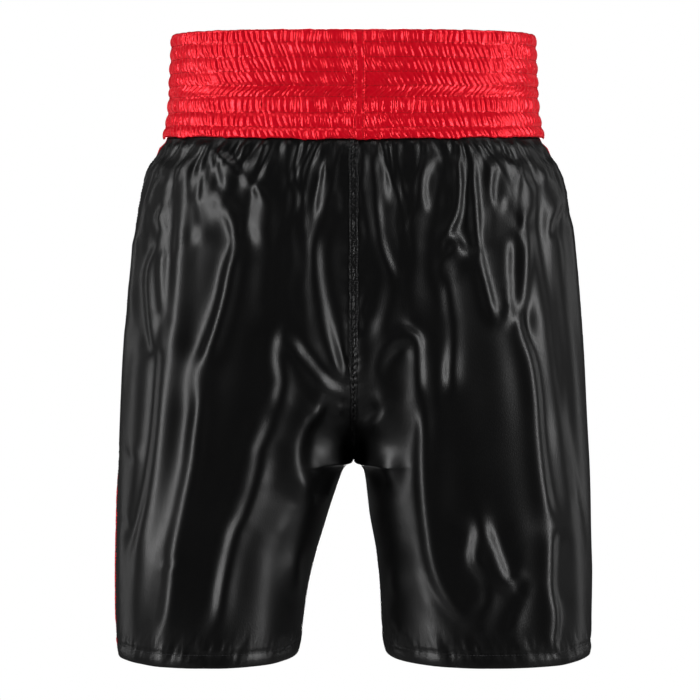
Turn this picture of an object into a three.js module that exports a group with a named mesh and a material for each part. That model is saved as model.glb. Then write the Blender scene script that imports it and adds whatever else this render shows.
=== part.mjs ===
// Boxing shorts: a shirred elastic waistband carrying a loose two-leg satin body.
// Millimetres, +Z up. The origin is the middle of the waistband, +Y is the wearer's back.
import * as THREE from "three";

// Overall sizes
const WAIST_HALF_WIDTH = 180;
const WAIST_HALF_DEPTH = 95;
const LEG_HALF_WIDTH = 232;
const BODY_HALF_DEPTH = 117;
const BAND_HEIGHT = 101.6;
const RISE = 308;
const INSEAM = 185;
const FRONT_HEM_LIFT = 12;
const RISE_SLOPE = 0.3;
const RISE_POWER = 5;
const SECTION_POWER = 2.4;

// Waistband casing: a folded satin layer with eight elastic channels
const ROW_SHARES = [0, 0.119, 0.252, 0.385, 0.51, 0.612, 0.758, 0.891, 1];
const CASING_THICKNESS = 7.4;
const CASING_LAYER = 1.6;
const ROW_BULGE = 1.7;
const TOP_FOLD = 2.5;
const BAND_TOP_INSET = 3;
const BAND_KNEE_ROW = 6;
const BAND_KNEE_OUT = 1;
const BAND_FOOT_OUT = 6;
const ELASTIC_THICKNESS = 1.6;
const ELASTIC_GAP = 0.45;
const ROW_MARGIN = 1.5;
const THREAD = 0.9;
const RING_STEPS = 44;

// Cloth panels, stripes and seams
const CLOTH_WALL = 2;
const TUCK_WALL = 0.8;
const TUCK = 3.4;
// The cloth's first row under the band hangs this low when the hips flare by FOOT_FLARE
const FOOT_DROP = 0.6;
const FOOT_FLARE = 50.15;
const GAP = 0.3;
const STRIPE_WIDTH = 40;
const HEM_FOLD = 15;
const HEM_WALL = 3.2;
const HEM_STITCH = 12;
const SEAM_WIDTH = 8.4;
const SEAM_THICKNESS = 1;
const SEAM_SHARE = 0.86;
const JOIN_CENTRE = -5.2;
const JOIN_WIDTH = 10.5;
const LABEL = { x: 14, width: 40, drop: 24, hold: 18, thickness: 0.8 };
const PANEL_STEPS = 12;
const STRIPE_STEPS = 2;
// Where the panel's columns are counted from, and how fast they give way to another stripe width
const COLUMN_START = 20.15;
const COLUMN_GIVE = 4;

// Heights
const BAND_TOP = BAND_HEIGHT / 2;
const BAND_FOOT = -BAND_HEIGHT / 2;
const CROTCH_Z = BAND_FOOT - RISE;
const HEM_Z = CROTCH_Z - INSEAM;
// The cloth body is cut just under the crotch, so that each leg can swing at the hip
const CUT_Z = CROTCH_Z - 7;
const CUT_GAP = 0.4;

const rowZ = ROW_SHARES.map((share) => BAND_TOP - share * BAND_HEIGHT);

// [share of the height from the band's foot to the hem, share of the flare]
const WIDTH_FLARE = [
  [0, 0], [0.013, 0.17], [0.032, 0.35], [0.055, 0.5], [0.085, 0.6], [0.113, 0.66],
  [0.152, 0.71], [0.232, 0.76], [0.311, 0.8], [0.39, 0.845], [0.508, 0.89],
  [0.627, 0.935], [0.746, 0.98], [0.825, 1], [0.944, 0.985], [1, 0.96],
];
const DEPTH_FLARE = [
  [0, 0], [0.013, 0.17], [0.032, 0.34], [0.055, 0.46], [0.113, 0.6], [0.2, 0.76],
  [0.311, 0.91], [0.4, 1], [0.9, 1], [1, 0.97],
];
// [share of the inseam below the crotch, half the space between the legs]
const LEG_SPACE = [
  [0, 0], [0.045, 9], [0.18, 15.5], [0.335, 22], [0.49, 28.5], [0.7, 34.5],
  [0.845, 37], [1, 40],
];

function along(table, x) {
  if (x <= table[0][0]) return table[0][1];
  for (let i = 1; i < table.length; i++) {
    if (x <= table[i][0]) {
      const t = (x - table[i - 1][0]) / (table[i][0] - table[i - 1][0]);
      return table[i - 1][1] + t * (table[i][1] - table[i - 1][1]);
    }
  }
  return table[table.length - 1][1];
}

const lerp = (a, b, t) => a + (b - a) * t;

// How far the band's outer face stands out from its nominal half sizes at height z
function bandOut(z) {
  const knee = rowZ[BAND_KNEE_ROW];
  if (z > knee) return lerp(BAND_KNEE_OUT, -BAND_TOP_INSET, (z - knee) / (BAND_TOP - knee));
  return lerp(BAND_KNEE_OUT, BAND_FOOT_OUT, (knee - z) / (knee - BAND_FOOT));
}

// Above the crotch each leg's section runs on past the middle plane, by this share of its outer reach
function overlapShare(z) {
  const drop = Math.min(1, Math.max(0, (BAND_FOOT - z) / RISE));
  const end = (Math.PI / 2) * (1 + RISE_SLOPE * drop + (1 - RISE_SLOPE) * drop ** RISE_POWER);
  const ratio = Math.abs(Math.cos(end)) ** (2 / SECTION_POWER);
  return (1 - ratio) / (1 + ratio);
}

const TUCK_MIDDLE = (ROW_BULGE + CASING_THICKNESS) / 2;
const TUCK_OUT = TUCK_MIDDLE - TUCK_WALL / 2;
// A wider flare carries the cloth out sooner, so its first row then lies nearer the band
const flare = LEG_HALF_WIDTH - WAIST_HALF_WIDTH - BAND_FOOT_OUT + TUCK_OUT;
const footDrop = (FOOT_DROP * FOOT_FLARE) / flare;

// Half width, half depth and half leg space of the cloth body's outer face at height z
function body(z) {
  const share = (BAND_FOOT - z) / (BAND_FOOT - HEM_Z);
  const top = bandOut(Math.max(z, BAND_FOOT)) - TUCK_OUT;
  const w0 = WAIST_HALF_WIDTH + top;
  const d0 = WAIST_HALF_DEPTH + top;
  const outer = lerp(w0, LEG_HALF_WIDTH, along(WIDTH_FLARE, share));
  const depth = lerp(d0, BODY_HALF_DEPTH, along(DEPTH_FLARE, share));
  const inner = z > CROTCH_Z ? -outer * overlapShare(z) : along(LEG_SPACE, (CROTCH_Z - z) / INSEAM);
  return { centre: (outer + inner) / 2, half: (outer - inner) / 2, depth };
}

// The angle at which a section of half depth d reaches y
const angleAt = (y, d) => Math.asin(Math.min(1, y / d) ** (SECTION_POWER / 2));

function sectionPoint(centre, half, depth, angle, z) {
  const c = Math.cos(angle);
  const s = Math.sin(angle);
  const k = 2 / SECTION_POWER;
  const x = centre + half * Math.sign(c) * Math.abs(c) ** k;
  return [x, depth * Math.sign(s) * Math.abs(s) ** k, z];
}

// The angle where a leg's section meets the middle plane, or its own inseam below the crotch
function innerAngle(b, inset) {
  const inseam = Math.PI - angleAt(GAP / 2, b.depth - inset);
  const ratio = (b.centre - GAP / 2) / (b.half - inset);
  if (ratio >= 1) return inseam;
  return Math.min(inseam, Math.acos(-Math.sign(ratio) * Math.abs(ratio) ** (SECTION_POWER / 2)));
}

// A point on the left leg's cloth: u runs from the stripe's edge to the middle, face is +1 at the back
function panelPoint(u, z, inset, face) {
  const b = body(z);
  const start = angleAt(STRIPE_WIDTH / 2 + GAP / 2, b.depth - inset);
  const first = angleAt(COLUMN_START, b.depth - inset);
  const angle = lerp(first, innerAngle(b, inset), u) + (start - first) * (1 - u) ** COLUMN_GIVE;
  return sectionPoint(b.centre, b.half - inset, b.depth - inset, face * angle, z);
}

function stripePoint(u, z, inset) {
  const b = body(z);
  const edge = angleAt(STRIPE_WIDTH / 2 - GAP / 2, b.depth - inset);
  return sectionPoint(b.centre, b.half - inset, b.depth - inset, lerp(edge, -edge, u), z);
}

// One closed mesh from section loops of equal length, joined end to end or capped as two layers
function loft(loops, closed) {
  const n = loops[0].length;
  const index = [];
  const quad = (a, b, c, d) => index.push(a, b, c, a, c, d);
  const spans = closed ? loops.length : loops.length - 1;
  for (let k = 0; k < spans; k++) {
    const a = k * n;
    const b = ((k + 1) % loops.length) * n;
    for (let i = 0; i < n; i++) quad(a + i, a + ((i + 1) % n), b + ((i + 1) % n), b + i);
  }
  if (!closed) {
    const last = (loops.length - 1) * n;
    for (let i = 0; i < n / 2 - 1; i++) {
      quad(i, n - 1 - i, n - 2 - i, i + 1);
      quad(last + i, last + i + 1, last + n - 2 - i, last + n - 1 - i);
    }
  }
  const points = loops.flat();
  let volume = 0;
  for (let i = 0; i < index.length; i += 3) {
    const [a, b, c] = [0, 1, 2].map((j) => new THREE.Vector3(...points[index[i + j]]));
    volume += a.dot(b.cross(c));
  }
  if (volume < 0) {
    for (let i = 0; i < index.length; i += 3) {
      [index[i + 1], index[i + 2]] = [index[i + 2], index[i + 1]];
    }
  }
  const geometry = new THREE.BufferGeometry();
  geometry.setAttribute("position", new THREE.Float32BufferAttribute(points.flat(), 3));
  geometry.setIndex(index);
  geometry.computeVertexNormals();
  return geometry;
}

const MATERIALS = {
  redSatin: { color: 0xd1122b, roughness: 0.38, metalness: 0 },
  blackSatin: { color: 0x131315, roughness: 0.36, metalness: 0 },
  elastic: { color: 0xe9e6de, roughness: 0.85, metalness: 0 },
  redThread: { color: 0xb50f24, roughness: 0.6, metalness: 0 },
  blackThread: { color: 0x1b1b1e, roughness: 0.6, metalness: 0 },
  label: { color: 0xf1f0ec, roughness: 0.6, metalness: 0 },
};

const shorts = new THREE.Group();
shorts.name = "boxing_shorts";

function add(name, geometry, material) {
  const mesh = new THREE.Mesh(geometry, new THREE.MeshStandardMaterial(MATERIALS[material]));
  mesh.name = name;
  shorts.add(mesh);
}

// A ring round the waist from a loop of [inset from the band's outer face, height]
function waistRing(section) {
  const loops = [];
  for (let i = 0; i < RING_STEPS; i++) {
    const angle = (2 * Math.PI * i) / RING_STEPS;
    loops.push(
      section.map(([inset, z]) => {
        const out = bandOut(z) - inset;
        return sectionPoint(0, WAIST_HALF_WIDTH + out, WAIST_HALF_DEPTH + out, angle, z);
      }),
    );
  }
  return loft(loops, true);
}

function addCasing() {
  const inner = CASING_THICKNESS;
  const hollowOut = ROW_BULGE + CASING_LAYER;
  const hollowIn = CASING_THICKNESS - CASING_LAYER;
  const knee = rowZ[BAND_KNEE_ROW];
  const roof = BAND_TOP - TOP_FOLD;
  const section = [[hollowOut, BAND_FOOT], [ROW_BULGE / 2, BAND_FOOT]];
  for (let row = rowZ.length - 2; row >= 0; row--) {
    const foot = rowZ[row + 1];
    const top = rowZ[row];
    section.push([0, lerp(foot, top, 0.32)], [0, lerp(foot, top, row ? 0.68 : 0.75)]);
    if (row) section.push([ROW_BULGE, top]);
  }
  section.push([ROW_BULGE / 2, BAND_TOP - 0.8], [ROW_BULGE + 0.6, BAND_TOP]);
  section.push([inner - 1.4, BAND_TOP], [inner, BAND_TOP - 1.2]);
  section.push([inner, knee], [inner, BAND_FOOT], [hollowIn, BAND_FOOT]);
  section.push([hollowIn, knee], [hollowIn, roof], [hollowOut, roof], [hollowOut, knee]);
  add("waistband_casing", waistRing(section), "redSatin");
}

function addElastics() {
  const near = ROW_BULGE + CASING_LAYER + ELASTIC_GAP;
  const far = near + ELASTIC_THICKNESS;
  for (let row = 0; row < rowZ.length - 1; row++) {
    const top = row ? rowZ[row] - ROW_MARGIN : BAND_TOP - TOP_FOLD - GAP * 2;
    const lowest = row === rowZ.length - 2 ? BAND_FOOT + TUCK + GAP * 2 : -Infinity;
    const foot = Math.max(rowZ[row + 1] + ROW_MARGIN, lowest);
    const section = [[near, foot], [near, top], [far, top], [far, foot]];
    add(`elastic_row_${row + 1}`, waistRing(section), "elastic");
  }
}

function addWaistStitches() {
  const base = ROW_BULGE - GAP - 0.2;
  for (let row = 1; row < rowZ.length - 1; row++) {
    const z = rowZ[row];
    const section = [[base, z - THREAD / 2], [base - THREAD + 0.1, z], [base, z + THREAD / 2]];
    add(`waistband_stitch_${row}`, waistRing(section), "redThread");
  }
}

// The band's curve at the back, at height z and inset from its outer face
function bandBackY(x, z, inset) {
  const out = bandOut(z) - inset;
  const share = Math.abs(x / (WAIST_HALF_WIDTH + out)) ** SECTION_POWER;
  return (WAIST_HALF_DEPTH + out) * (1 - share) ** (1 / SECTION_POWER);
}

function stripOf(heights, columns, near, far) {
  return loft(
    heights.map((z) => [
      ...columns.map((x) => [x, near(x, z), z]),
      ...columns.toReversed().map((x) => [x, far(x, z), z]),
    ]),
    false,
  );
}

function addJoin() {
  const columns = [-0.5, 0, 0.5].map((share) => JOIN_CENTRE + share * JOIN_WIDTH);
  const heights = [BAND_TOP - 2, 0, rowZ[BAND_KNEE_ROW], BAND_FOOT + 2];
  const near = (x, z) => bandBackY(x, z, -GAP);
  const far = (x, z) => bandBackY(x, z, -GAP - SEAM_THICKNESS);
  add("waistband_join", stripOf(heights, columns, near, far), "redSatin");
}

function addLabel() {
  const columns = [0, 0.25, 0.5, 0.75, 1].map((share) => LABEL.x + share * LABEL.width);
  const heights = [BAND_FOOT + LABEL.hold, BAND_FOOT, BAND_FOOT - LABEL.drop];
  const inset = CASING_THICKNESS + GAP + 0.1;
  const at = (x, z, more) => {
    const held = Math.max(z, BAND_FOOT);
    return Math.min(bandBackY(x, held, inset + more), bandBackY(x, heights[0], inset + more));
  };
  const near = (x, z) => at(x, z, 0);
  const far = (x, z) => at(x, z, LABEL.thickness);
  add("care_label", stripOf(heights, columns, near, far), "label");
}

function hemZ(u, face) {
  return HEM_Z + (face < 0 ? FRONT_HEM_LIFT * Math.sin((Math.PI * u) / 2) : 0);
}

const upperShares = [0, 0.012, 0.04, 0.075, 0.12, 0.2, 0.32, 0.46, 0.6, 0.73, 0.84, 0.93, 1];
const lowerShares = [0, 0.18, 0.38, 0.58, 0.76, 0.88];

function upperHeights() {
  const top = BAND_FOOT + TUCK;
  return [top, ...upperShares.map((s) => lerp(BAND_FOOT - footDrop, CUT_Z + CUT_GAP / 2, s))];
}

function lowerHeights(foot) {
  const top = CUT_Z - CUT_GAP / 2;
  const fold = foot + HEM_FOLD;
  return [...lowerShares.map((s) => lerp(top, fold, s)), fold, foot + HEM_STITCH, foot];
}

// Cloth wall at height z: thin where it is tucked in the band, thick in the hem
function wallAt(z, foot) {
  if (z > BAND_FOOT - 1) return TUCK_WALL;
  return z < foot + HEM_FOLD - 0.5 ? HEM_WALL : CLOTH_WALL;
}

// A curved sheet with a wall: heights(u) lists the z of each row, point(u, z, inset) its place
function sheet(steps, heights, point, foot) {
  const us = Array.from({ length: steps + 1 }, (_, i) => i / steps);
  const columns = us.map((u) => heights(u));
  return columns[0].map((_, row) => [
    ...us.map((u, i) => point(u, columns[i][row], 0)),
    ...us.map((u, i) => point(u, columns[i][row], wallAt(columns[i][row], foot(u)))).toReversed(),
  ]);
}

const flip = (loops, side) => loops.map((loop) => loop.map(([x, y, z]) => [side * x, y, z]));

function addCloth(side, sideName) {
  for (const [face, faceName] of [[1, "back"], [-1, "front"]]) {
    const point = (u, z, inset) => panelPoint(u, z, inset, face);
    const foot = (u) => hemZ(u, face);
    const upper = sheet(PANEL_STEPS, upperHeights, point, foot);
    const lower = sheet(PANEL_STEPS, (u) => lowerHeights(foot(u)), point, foot);
    add(`${faceName}_panel_${sideName}_upper`, loft(flip(upper, side), false), "blackSatin");
    add(`${faceName}_panel_${sideName}_lower`, loft(flip(lower, side), false), "blackSatin");
  }
  const foot = () => HEM_Z;
  const upper = sheet(STRIPE_STEPS, upperHeights, stripePoint, foot);
  const lower = sheet(STRIPE_STEPS, () => lowerHeights(HEM_Z), stripePoint, foot);
  add(`side_stripe_${sideName}_upper`, loft(flip(upper, side), false), "redSatin");
  add(`side_stripe_${sideName}_lower`, loft(flip(lower, side), false), "redSatin");
}

// The thread that holds the hem's fold, outside the cloth and once round the leg
function addHemStitch(side, sideName) {
  const us = Array.from({ length: PANEL_STEPS + 1 }, (_, i) => i / PANEL_STEPS);
  const stations = [
    ...us.map((u) => (z, inset) => panelPoint(u, z + hemZ(u, 1), inset, 1)),
    ...us.toReversed().map((u) => (z, inset) => panelPoint(u, z + hemZ(u, -1), inset, -1)),
  ];
  const outset = -GAP - 0.1;
  const section = [
    [outset, HEM_STITCH - THREAD / 2],
    [outset - THREAD + 0.1, HEM_STITCH],
    [outset, HEM_STITCH + THREAD / 2],
  ];
  const back = stations.slice(0, us.length).toReversed();
  const stripe = [0, 0.5, 1].map((u) => (z, inset) => stripePoint(u, z + HEM_Z, inset));
  const front = stations.slice(us.length).toReversed();
  const loops = [...back, ...stripe, ...front].map((at) => section.map(([o, z]) => at(z, o)));
  add(`hem_stitch_${sideName}`, loft(flip(loops, side), true), "blackThread");
}

function addRiseSeam(face, name) {
  const foot = lerp(BAND_FOOT, CROTCH_Z, SEAM_SHARE);
  const heights = upperHeights().filter((z) => z < BAND_FOOT - 2 && z > foot);
  const columns = [-0.5, 0, 0.5].map((share) => share * SEAM_WIDTH);
  const y = (x, z, out) => {
    const b = body(z);
    const away = Math.abs((Math.abs(x) - b.centre) / (b.half + out)) ** SECTION_POWER;
    return face * (b.depth + out) * (1 - away) ** (1 / SECTION_POWER);
  };
  const near = (x, z) => y(x, z, GAP + 0.2);
  const far = (x, z) => y(x, z, GAP + 0.2 + SEAM_THICKNESS);
  add(name, stripOf([...heights, foot], columns, near, far), "blackSatin");
}

addCasing();
addElastics();
addWaistStitches();
addJoin();
addLabel();
for (const [side, name] of [[1, "left"], [-1, "right"]]) {
  addCloth(side, name);
  addHemStitch(side, name);
}
addRiseSeam(1, "back_rise_seam");
addRiseSeam(-1, "front_rise_seam");

export default shorts;
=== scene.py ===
"""Boxing shorts: satin cloth, shirred waistband and sewn detail around the CAD frame."""

import math

import bpy
import numpy as np
from bpy.props import FloatProperty, FloatVectorProperty, IntProperty, PointerProperty
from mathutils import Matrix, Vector


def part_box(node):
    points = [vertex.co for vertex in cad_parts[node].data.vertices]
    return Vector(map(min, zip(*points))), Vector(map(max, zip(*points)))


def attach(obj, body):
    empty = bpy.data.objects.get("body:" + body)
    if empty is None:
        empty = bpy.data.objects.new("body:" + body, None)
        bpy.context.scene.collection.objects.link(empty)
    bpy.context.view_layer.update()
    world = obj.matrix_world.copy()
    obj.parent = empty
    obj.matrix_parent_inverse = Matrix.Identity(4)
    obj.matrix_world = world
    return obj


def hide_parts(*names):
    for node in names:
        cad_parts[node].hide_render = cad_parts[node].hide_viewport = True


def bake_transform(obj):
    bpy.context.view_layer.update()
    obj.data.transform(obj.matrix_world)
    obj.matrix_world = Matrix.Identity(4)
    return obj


bl_info = {
    "name": "Boxing Shorts",
    "version": (1, 0, 0),
    "blender": (4, 2, 0),
    "location": "View3D > Sidebar > Shorts",
    "description": "Builds satin boxing shorts with a shirred waistband",
    "category": "Object",
}

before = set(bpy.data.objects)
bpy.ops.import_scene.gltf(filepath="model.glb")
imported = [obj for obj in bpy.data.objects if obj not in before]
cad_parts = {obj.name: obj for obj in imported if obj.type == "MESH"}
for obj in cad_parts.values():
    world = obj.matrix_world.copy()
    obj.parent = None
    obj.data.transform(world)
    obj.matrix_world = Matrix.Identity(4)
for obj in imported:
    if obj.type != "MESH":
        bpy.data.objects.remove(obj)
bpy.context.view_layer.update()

# Sizes of the pattern, in millimetres, the same as the CAD part's
WAIST_HALF = (180.0, 95.0)
LEG_HALF_WIDTH = 232.0
BODY_HALF_DEPTH = 117.0
BAND_TOP, BAND_FOOT = 50.8, -50.8
RISE, INSEAM = 308.0, 185.0
CROTCH_Z = BAND_FOOT - RISE
HEM_Z = CROTCH_Z - INSEAM
FRONT_HEM_LIFT = 12.0
POWER = 2.4
ROW_SHARES = (0, 0.119, 0.252, 0.385, 0.51, 0.612, 0.758, 0.891, 1)
ROW_Z = [BAND_TOP - share * (BAND_TOP - BAND_FOOT) for share in ROW_SHARES]
CASING = 7.4
STRIPE_HALF = 20.0
TUCK_INSET = 4.55
TUCK_TOP = BAND_FOOT + 3.2
SHARE_WIDTH = (
    (0, 0), (0.013, 0.17), (0.032, 0.35), (0.055, 0.5), (0.085, 0.6), (0.113, 0.66),
    (0.152, 0.71), (0.232, 0.76), (0.311, 0.8), (0.39, 0.845), (0.508, 0.89),
    (0.627, 0.935), (0.746, 0.98), (0.825, 1), (0.944, 0.985), (1, 0.96),
)
SHARE_DEPTH = (
    (0, 0), (0.013, 0.17), (0.032, 0.34), (0.055, 0.46), (0.113, 0.6), (0.2, 0.76),
    (0.311, 0.91), (0.4, 1), (0.9, 1), (1, 0.97),
)
LEG_SPACE = (
    (0, 0), (0.005, 3.4), (0.016, 6.0), (0.045, 9.4), (0.1, 12.4), (0.18, 15.8), (0.335, 22),
    (0.49, 28.5), (0.7, 34.5), (0.845, 37), (1, 40),
)

# Where the camera stands and what it frames
CAMERA_AT = (3.4, 2200.0, -145.7)
CAMERA_AIM_Z = -252.9
MM_A_STEP = 0.975
VIEW_MIDDLE = (350.0, 240.0)
LENS = 36.0 * 2200.0 / (700.0 * MM_A_STEP)
FLOOR_HALF, FLOOR_Z = 6000.0, -1500.0
WEAVE_MM = 0.45
# Upright lights round the shorts: direction in degrees and power in watts
SIDE_LIGHTS = ((32, 38), (148, 38), (270, 28), (335, 5), (205, 5))

# How the cloth is divided into columns and rows
PANEL_COLUMNS, STRIPE_COLUMNS = 64, 10
COLUMNS = 2 * PANEL_COLUMNS + STRIPE_COLUMNS
UPPER_ROWS, LOWER_ROWS = 74, 48
CLOTH_THICKNESS = 0.5
HEM_DEEP = 12.0

# Fold lines on the back, in the frame's 700 steps: height in millimetres, half width, x and y in turn
BACK_FOLDS = (
    (-3.2, 5, (169, 175, 166, 244, 163, 338, 156, 362, 153, 402, 148, 450, 142, 497, 129, 542, 119,
      590)), (3.0, 8, (181, 175, 178, 244, 175, 338, 168, 402, 163, 450, 157, 497, 146, 542, 136, 600)),
    (6.5, 9, (209, 149, 222, 195, 232, 240, 225, 290, 212, 330, 197, 380, 190, 440, 180, 490, 168, 530,
      162, 590, 153, 655)), (4.5, 5, (209, 149, 235, 172, 268, 202)),
    (-3.5, 7, (200, 165, 238, 200, 262, 230)),
    (5.5, 8, (333, 152, 322, 180, 318, 230, 315, 270, 330, 330, 347, 395)),
    (4.0, 6, (278, 340, 300, 350, 320, 375, 347, 397)),
    (6.5, 9, (275, 352, 286, 385, 272, 420, 262, 450, 250, 500, 232, 545, 225, 600, 215, 645)),
    (4.5, 7, (310, 420, 305, 450, 318, 465, 305, 520, 299, 580)), (3.0, 5, (315, 395, 346, 413)),
    (-3.2, 5, (542, 165, 548, 244, 554, 291, 559, 340, 567, 400, 572, 446, 577, 487, 588, 559)),
    (3.0, 8, (531, 170, 536, 244, 541, 300, 548, 350, 556, 410, 562, 460)),
    (5.0, 8, (375, 150, 384, 240, 398, 280)),
    (5.5, 8, (458, 150, 452, 220, 440, 245, 445, 280, 450, 360, 448, 400)),
    (3.2, 6, (450, 230, 475, 270)), (4.5, 7, (475, 170, 480, 230, 490, 290, 500, 325, 520, 300)),
    (6.0, 9, (530, 210, 530, 330, 540, 390, 547, 490, 557, 560, 555, 600, 560, 665)),
    (4.5, 7, (355, 435, 385, 405, 378, 370, 395, 345, 420, 335)),
    (6.5, 9, (420, 335, 421, 400, 417, 450, 423, 540, 438, 600, 465, 630)),
    (5.5, 8, (482, 512, 475, 560, 490, 595, 485, 640)),
    (3.5, 7, (482, 512, 497, 560, 510, 585, 533, 580)), (3.2, 6, (530, 585, 520, 610, 510, 640)),
    (3.2, 8, (352, 440, 332, 455, 300, 490, 282, 540)),
    (3.2, 8, (356, 440, 385, 455, 400, 500, 405, 560)),
    (4.0, 9, (262, 150, 270, 220, 262, 300, 268, 330)), (4.0, 9, (420, 150, 416, 220, 412, 300)),
)

# Creases that catch the light on the back: width in steps, strength, x and y in turn
CREASES = (
    (3.5, 0.9, (152, 170, 169, 176)), (3.5, 0.9, (171, 176, 180, 165, 192, 148)),
    (3.0, 0.8, (170, 179, 178, 185)), (4.0, 1.0, (154, 170, 143, 202, 138, 230, 129, 250)),
    (3.5, 1.0, (165, 202, 155, 215, 157, 225, 164, 237)),
    (6.0, 1.0, (160, 237, 146, 260, 143, 280, 145, 307, 148, 340, 153, 362)),
    (4.0, 0.8, (164, 245, 158, 265, 159, 292, 161, 320)), (3.5, 0.5, (126, 280, 130, 332)),
    (4.5, 0.9, (164, 295, 161, 332, 157, 370, 154, 420, 145, 483, 135, 533, 122, 575)),
    (4.0, 0.9, (199, 155, 201, 182, 199, 207)), (6.0, 0.5, (197, 220, 196, 250)),
    (4.0, 0.9, (209, 150, 220, 170, 224, 187, 227, 196)),
    (3.0, 1.0, (212, 152, 230, 167, 246, 182, 266, 200)),
    (12, 0.75, (240, 205, 247, 222, 256, 236, 261, 255)),
    (9.0, 1.0, (225, 202, 230, 225, 235, 245, 225, 270, 221, 295, 212, 327, 202, 350, 197, 370)),
    (9.0, 1.0, (197, 375, 195, 400, 190, 433, 187, 467, 178, 507, 168, 550, 167, 573, 162, 607, 155,
      650)), (3.5, 0.9, (239, 142, 239, 157, 245, 170, 249, 178)),
    (3.0, 0.9, (272, 140, 277, 155, 278, 167, 282, 160)),
    (6.5, 0.9, (331, 154, 322, 167, 326, 182, 320, 202, 317, 225)),
    (10, 1.0, (317, 222, 315, 245, 317, 280, 322, 310, 332, 345, 345, 375, 350, 388)),
    (4.0, 0.8, (332, 187, 342, 195, 340, 210, 342, 222)),
    (8.0, 0.9, (285, 317, 277, 340, 275, 357, 282, 382, 277, 395, 275, 418)),
    (8.0, 1.0, (290, 335, 302, 352, 317, 372, 337, 390, 348, 398)),
    (5.0, 0.8, (317, 398, 323, 409, 318, 424)), (4.0, 0.8, (338, 400, 348, 413)),
    (8.5, 1.0, (272, 400, 275, 417, 258, 443, 255, 477, 248, 503, 232, 533, 228, 550, 220, 587, 217,
      617, 215, 645)), (3.0, 0.6, (278, 437, 255, 460)), (3.5, 0.6, (252, 510, 236, 527)),
    (12, 0.9, (338, 407, 312, 422, 303, 445, 306, 467, 312, 487, 305, 512)),
    (6.0, 0.5, (298, 550, 302, 577, 298, 607)), (3.0, 0.8, (156, 574, 170, 567, 183, 562)),
    (4.0, 0.6, (124, 440, 133, 467)), (4.0, 0.6, (122, 513, 128, 535)),
    (3.5, 0.8, (175, 655, 190, 661, 215, 660, 230, 655)),
    (3.5, 1.0, (375, 150, 376, 170, 380, 215, 382, 240, 392, 267, 400, 282)),
    (11, 0.9, (383, 262, 387, 292, 379, 320, 372, 335, 360, 346)),
    (5.0, 0.7, (390, 160, 386, 182, 391, 209)), (4.0, 0.6, (405, 177, 406, 199)),
    (3.5, 1.0, (441, 156, 428, 170, 425, 187, 426, 205, 431, 215)),
    (3.0, 0.9, (438, 165, 434, 195, 432, 213)),
    (3.5, 1.0, (457, 152, 462, 177, 462, 202, 460, 220, 448, 235, 440, 246)),
    (12, 0.8, (447, 236, 460, 240, 468, 262)),
    (6.5, 1.0, (444, 272, 446, 300, 452, 327, 450, 357, 447, 372, 449, 398)),
    (4.0, 1.0, (475, 152, 476, 175, 479, 220, 482, 260, 490, 290, 495, 315, 502, 328)),
    (6.0, 0.9, (502, 328, 512, 318, 511, 295, 510, 260, 511, 232)),
    (3.0, 0.9, (475, 145, 484, 157, 488, 144)), (4.0, 1.0, (500, 162, 494, 175, 492, 195, 497, 213)),
    (3.0, 0.9, (497, 213, 504, 207, 505, 193)), (3.0, 0.9, (496, 147, 511, 165, 515, 148)),
    (5.0, 0.8, (520, 165, 532, 185, 541, 194)), (6.0, 0.8, (511, 226, 520, 231, 530, 220, 531, 202)),
    (8.0, 0.9, (531, 218, 530, 270, 527, 295, 524, 327, 520, 338)),
    (7.0, 1.0, (517, 295, 522, 317, 526, 338, 535, 360, 540, 395, 543, 440, 548, 483, 557, 530)),
    (6.5, 1.0, (557, 525, 555, 567, 555, 593, 562, 617, 557, 650, 562, 664)),
    (3.5, 1.0, (540, 148, 545, 165, 545, 195, 551, 240, 553, 275, 557, 320, 565, 370, 568, 420, 572,
      445, 578, 483, 587, 542, 590, 575)), (4.0, 0.8, (560, 200, 552, 227, 550, 241)),
    (7.0, 0.8, (565, 178, 567, 207, 562, 229)), (3.5, 0.8, (547, 165, 552, 183)),
    (4.5, 0.8, (360, 218, 365, 232, 364, 248)), (3.0, 0.9, (365, 266, 357, 285)),
    (3.5, 0.8, (369, 295, 360, 321)), (5.0, 1.0, (397, 318, 417, 332, 422, 339, 421, 357, 422, 398)),
    (6.5, 1.0, (417, 337, 400, 341, 385, 355, 377, 375, 372, 391, 388, 407)),
    (6.5, 0.9, (356, 432, 378, 417, 389, 402)),
    (7.0, 1.0, (422, 395, 418, 443, 418, 483, 422, 527, 428, 567, 438, 593, 452, 613, 474, 635)),
    (9.0, 0.6, (372, 457, 385, 477, 393, 500)), (8.0, 0.5, (392, 560, 388, 587, 399, 609)),
    (6.5, 1.0, (480, 517, 475, 540, 472, 563, 485, 580, 488, 600, 482, 622)),
    (5.5, 1.0, (488, 521, 495, 543, 505, 573, 512, 584, 529, 577)),
    (5.0, 1.0, (529, 577, 528, 590, 518, 610, 510, 633, 519, 645)), (3.5, 0.9, (395, 622, 400, 648)),
    (3.5, 0.9, (405, 633, 417, 661)), (4.0, 0.8, (442, 645, 445, 668)),
    (4.0, 0.9, (468, 638, 482, 664)), (4.0, 0.9, (505, 637, 518, 668)),
    (3.0, 0.7, (427, 628, 431, 650)), (3.0, 0.7, (455, 628, 459, 650)),
)
CATCH = math.radians(29)


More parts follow.
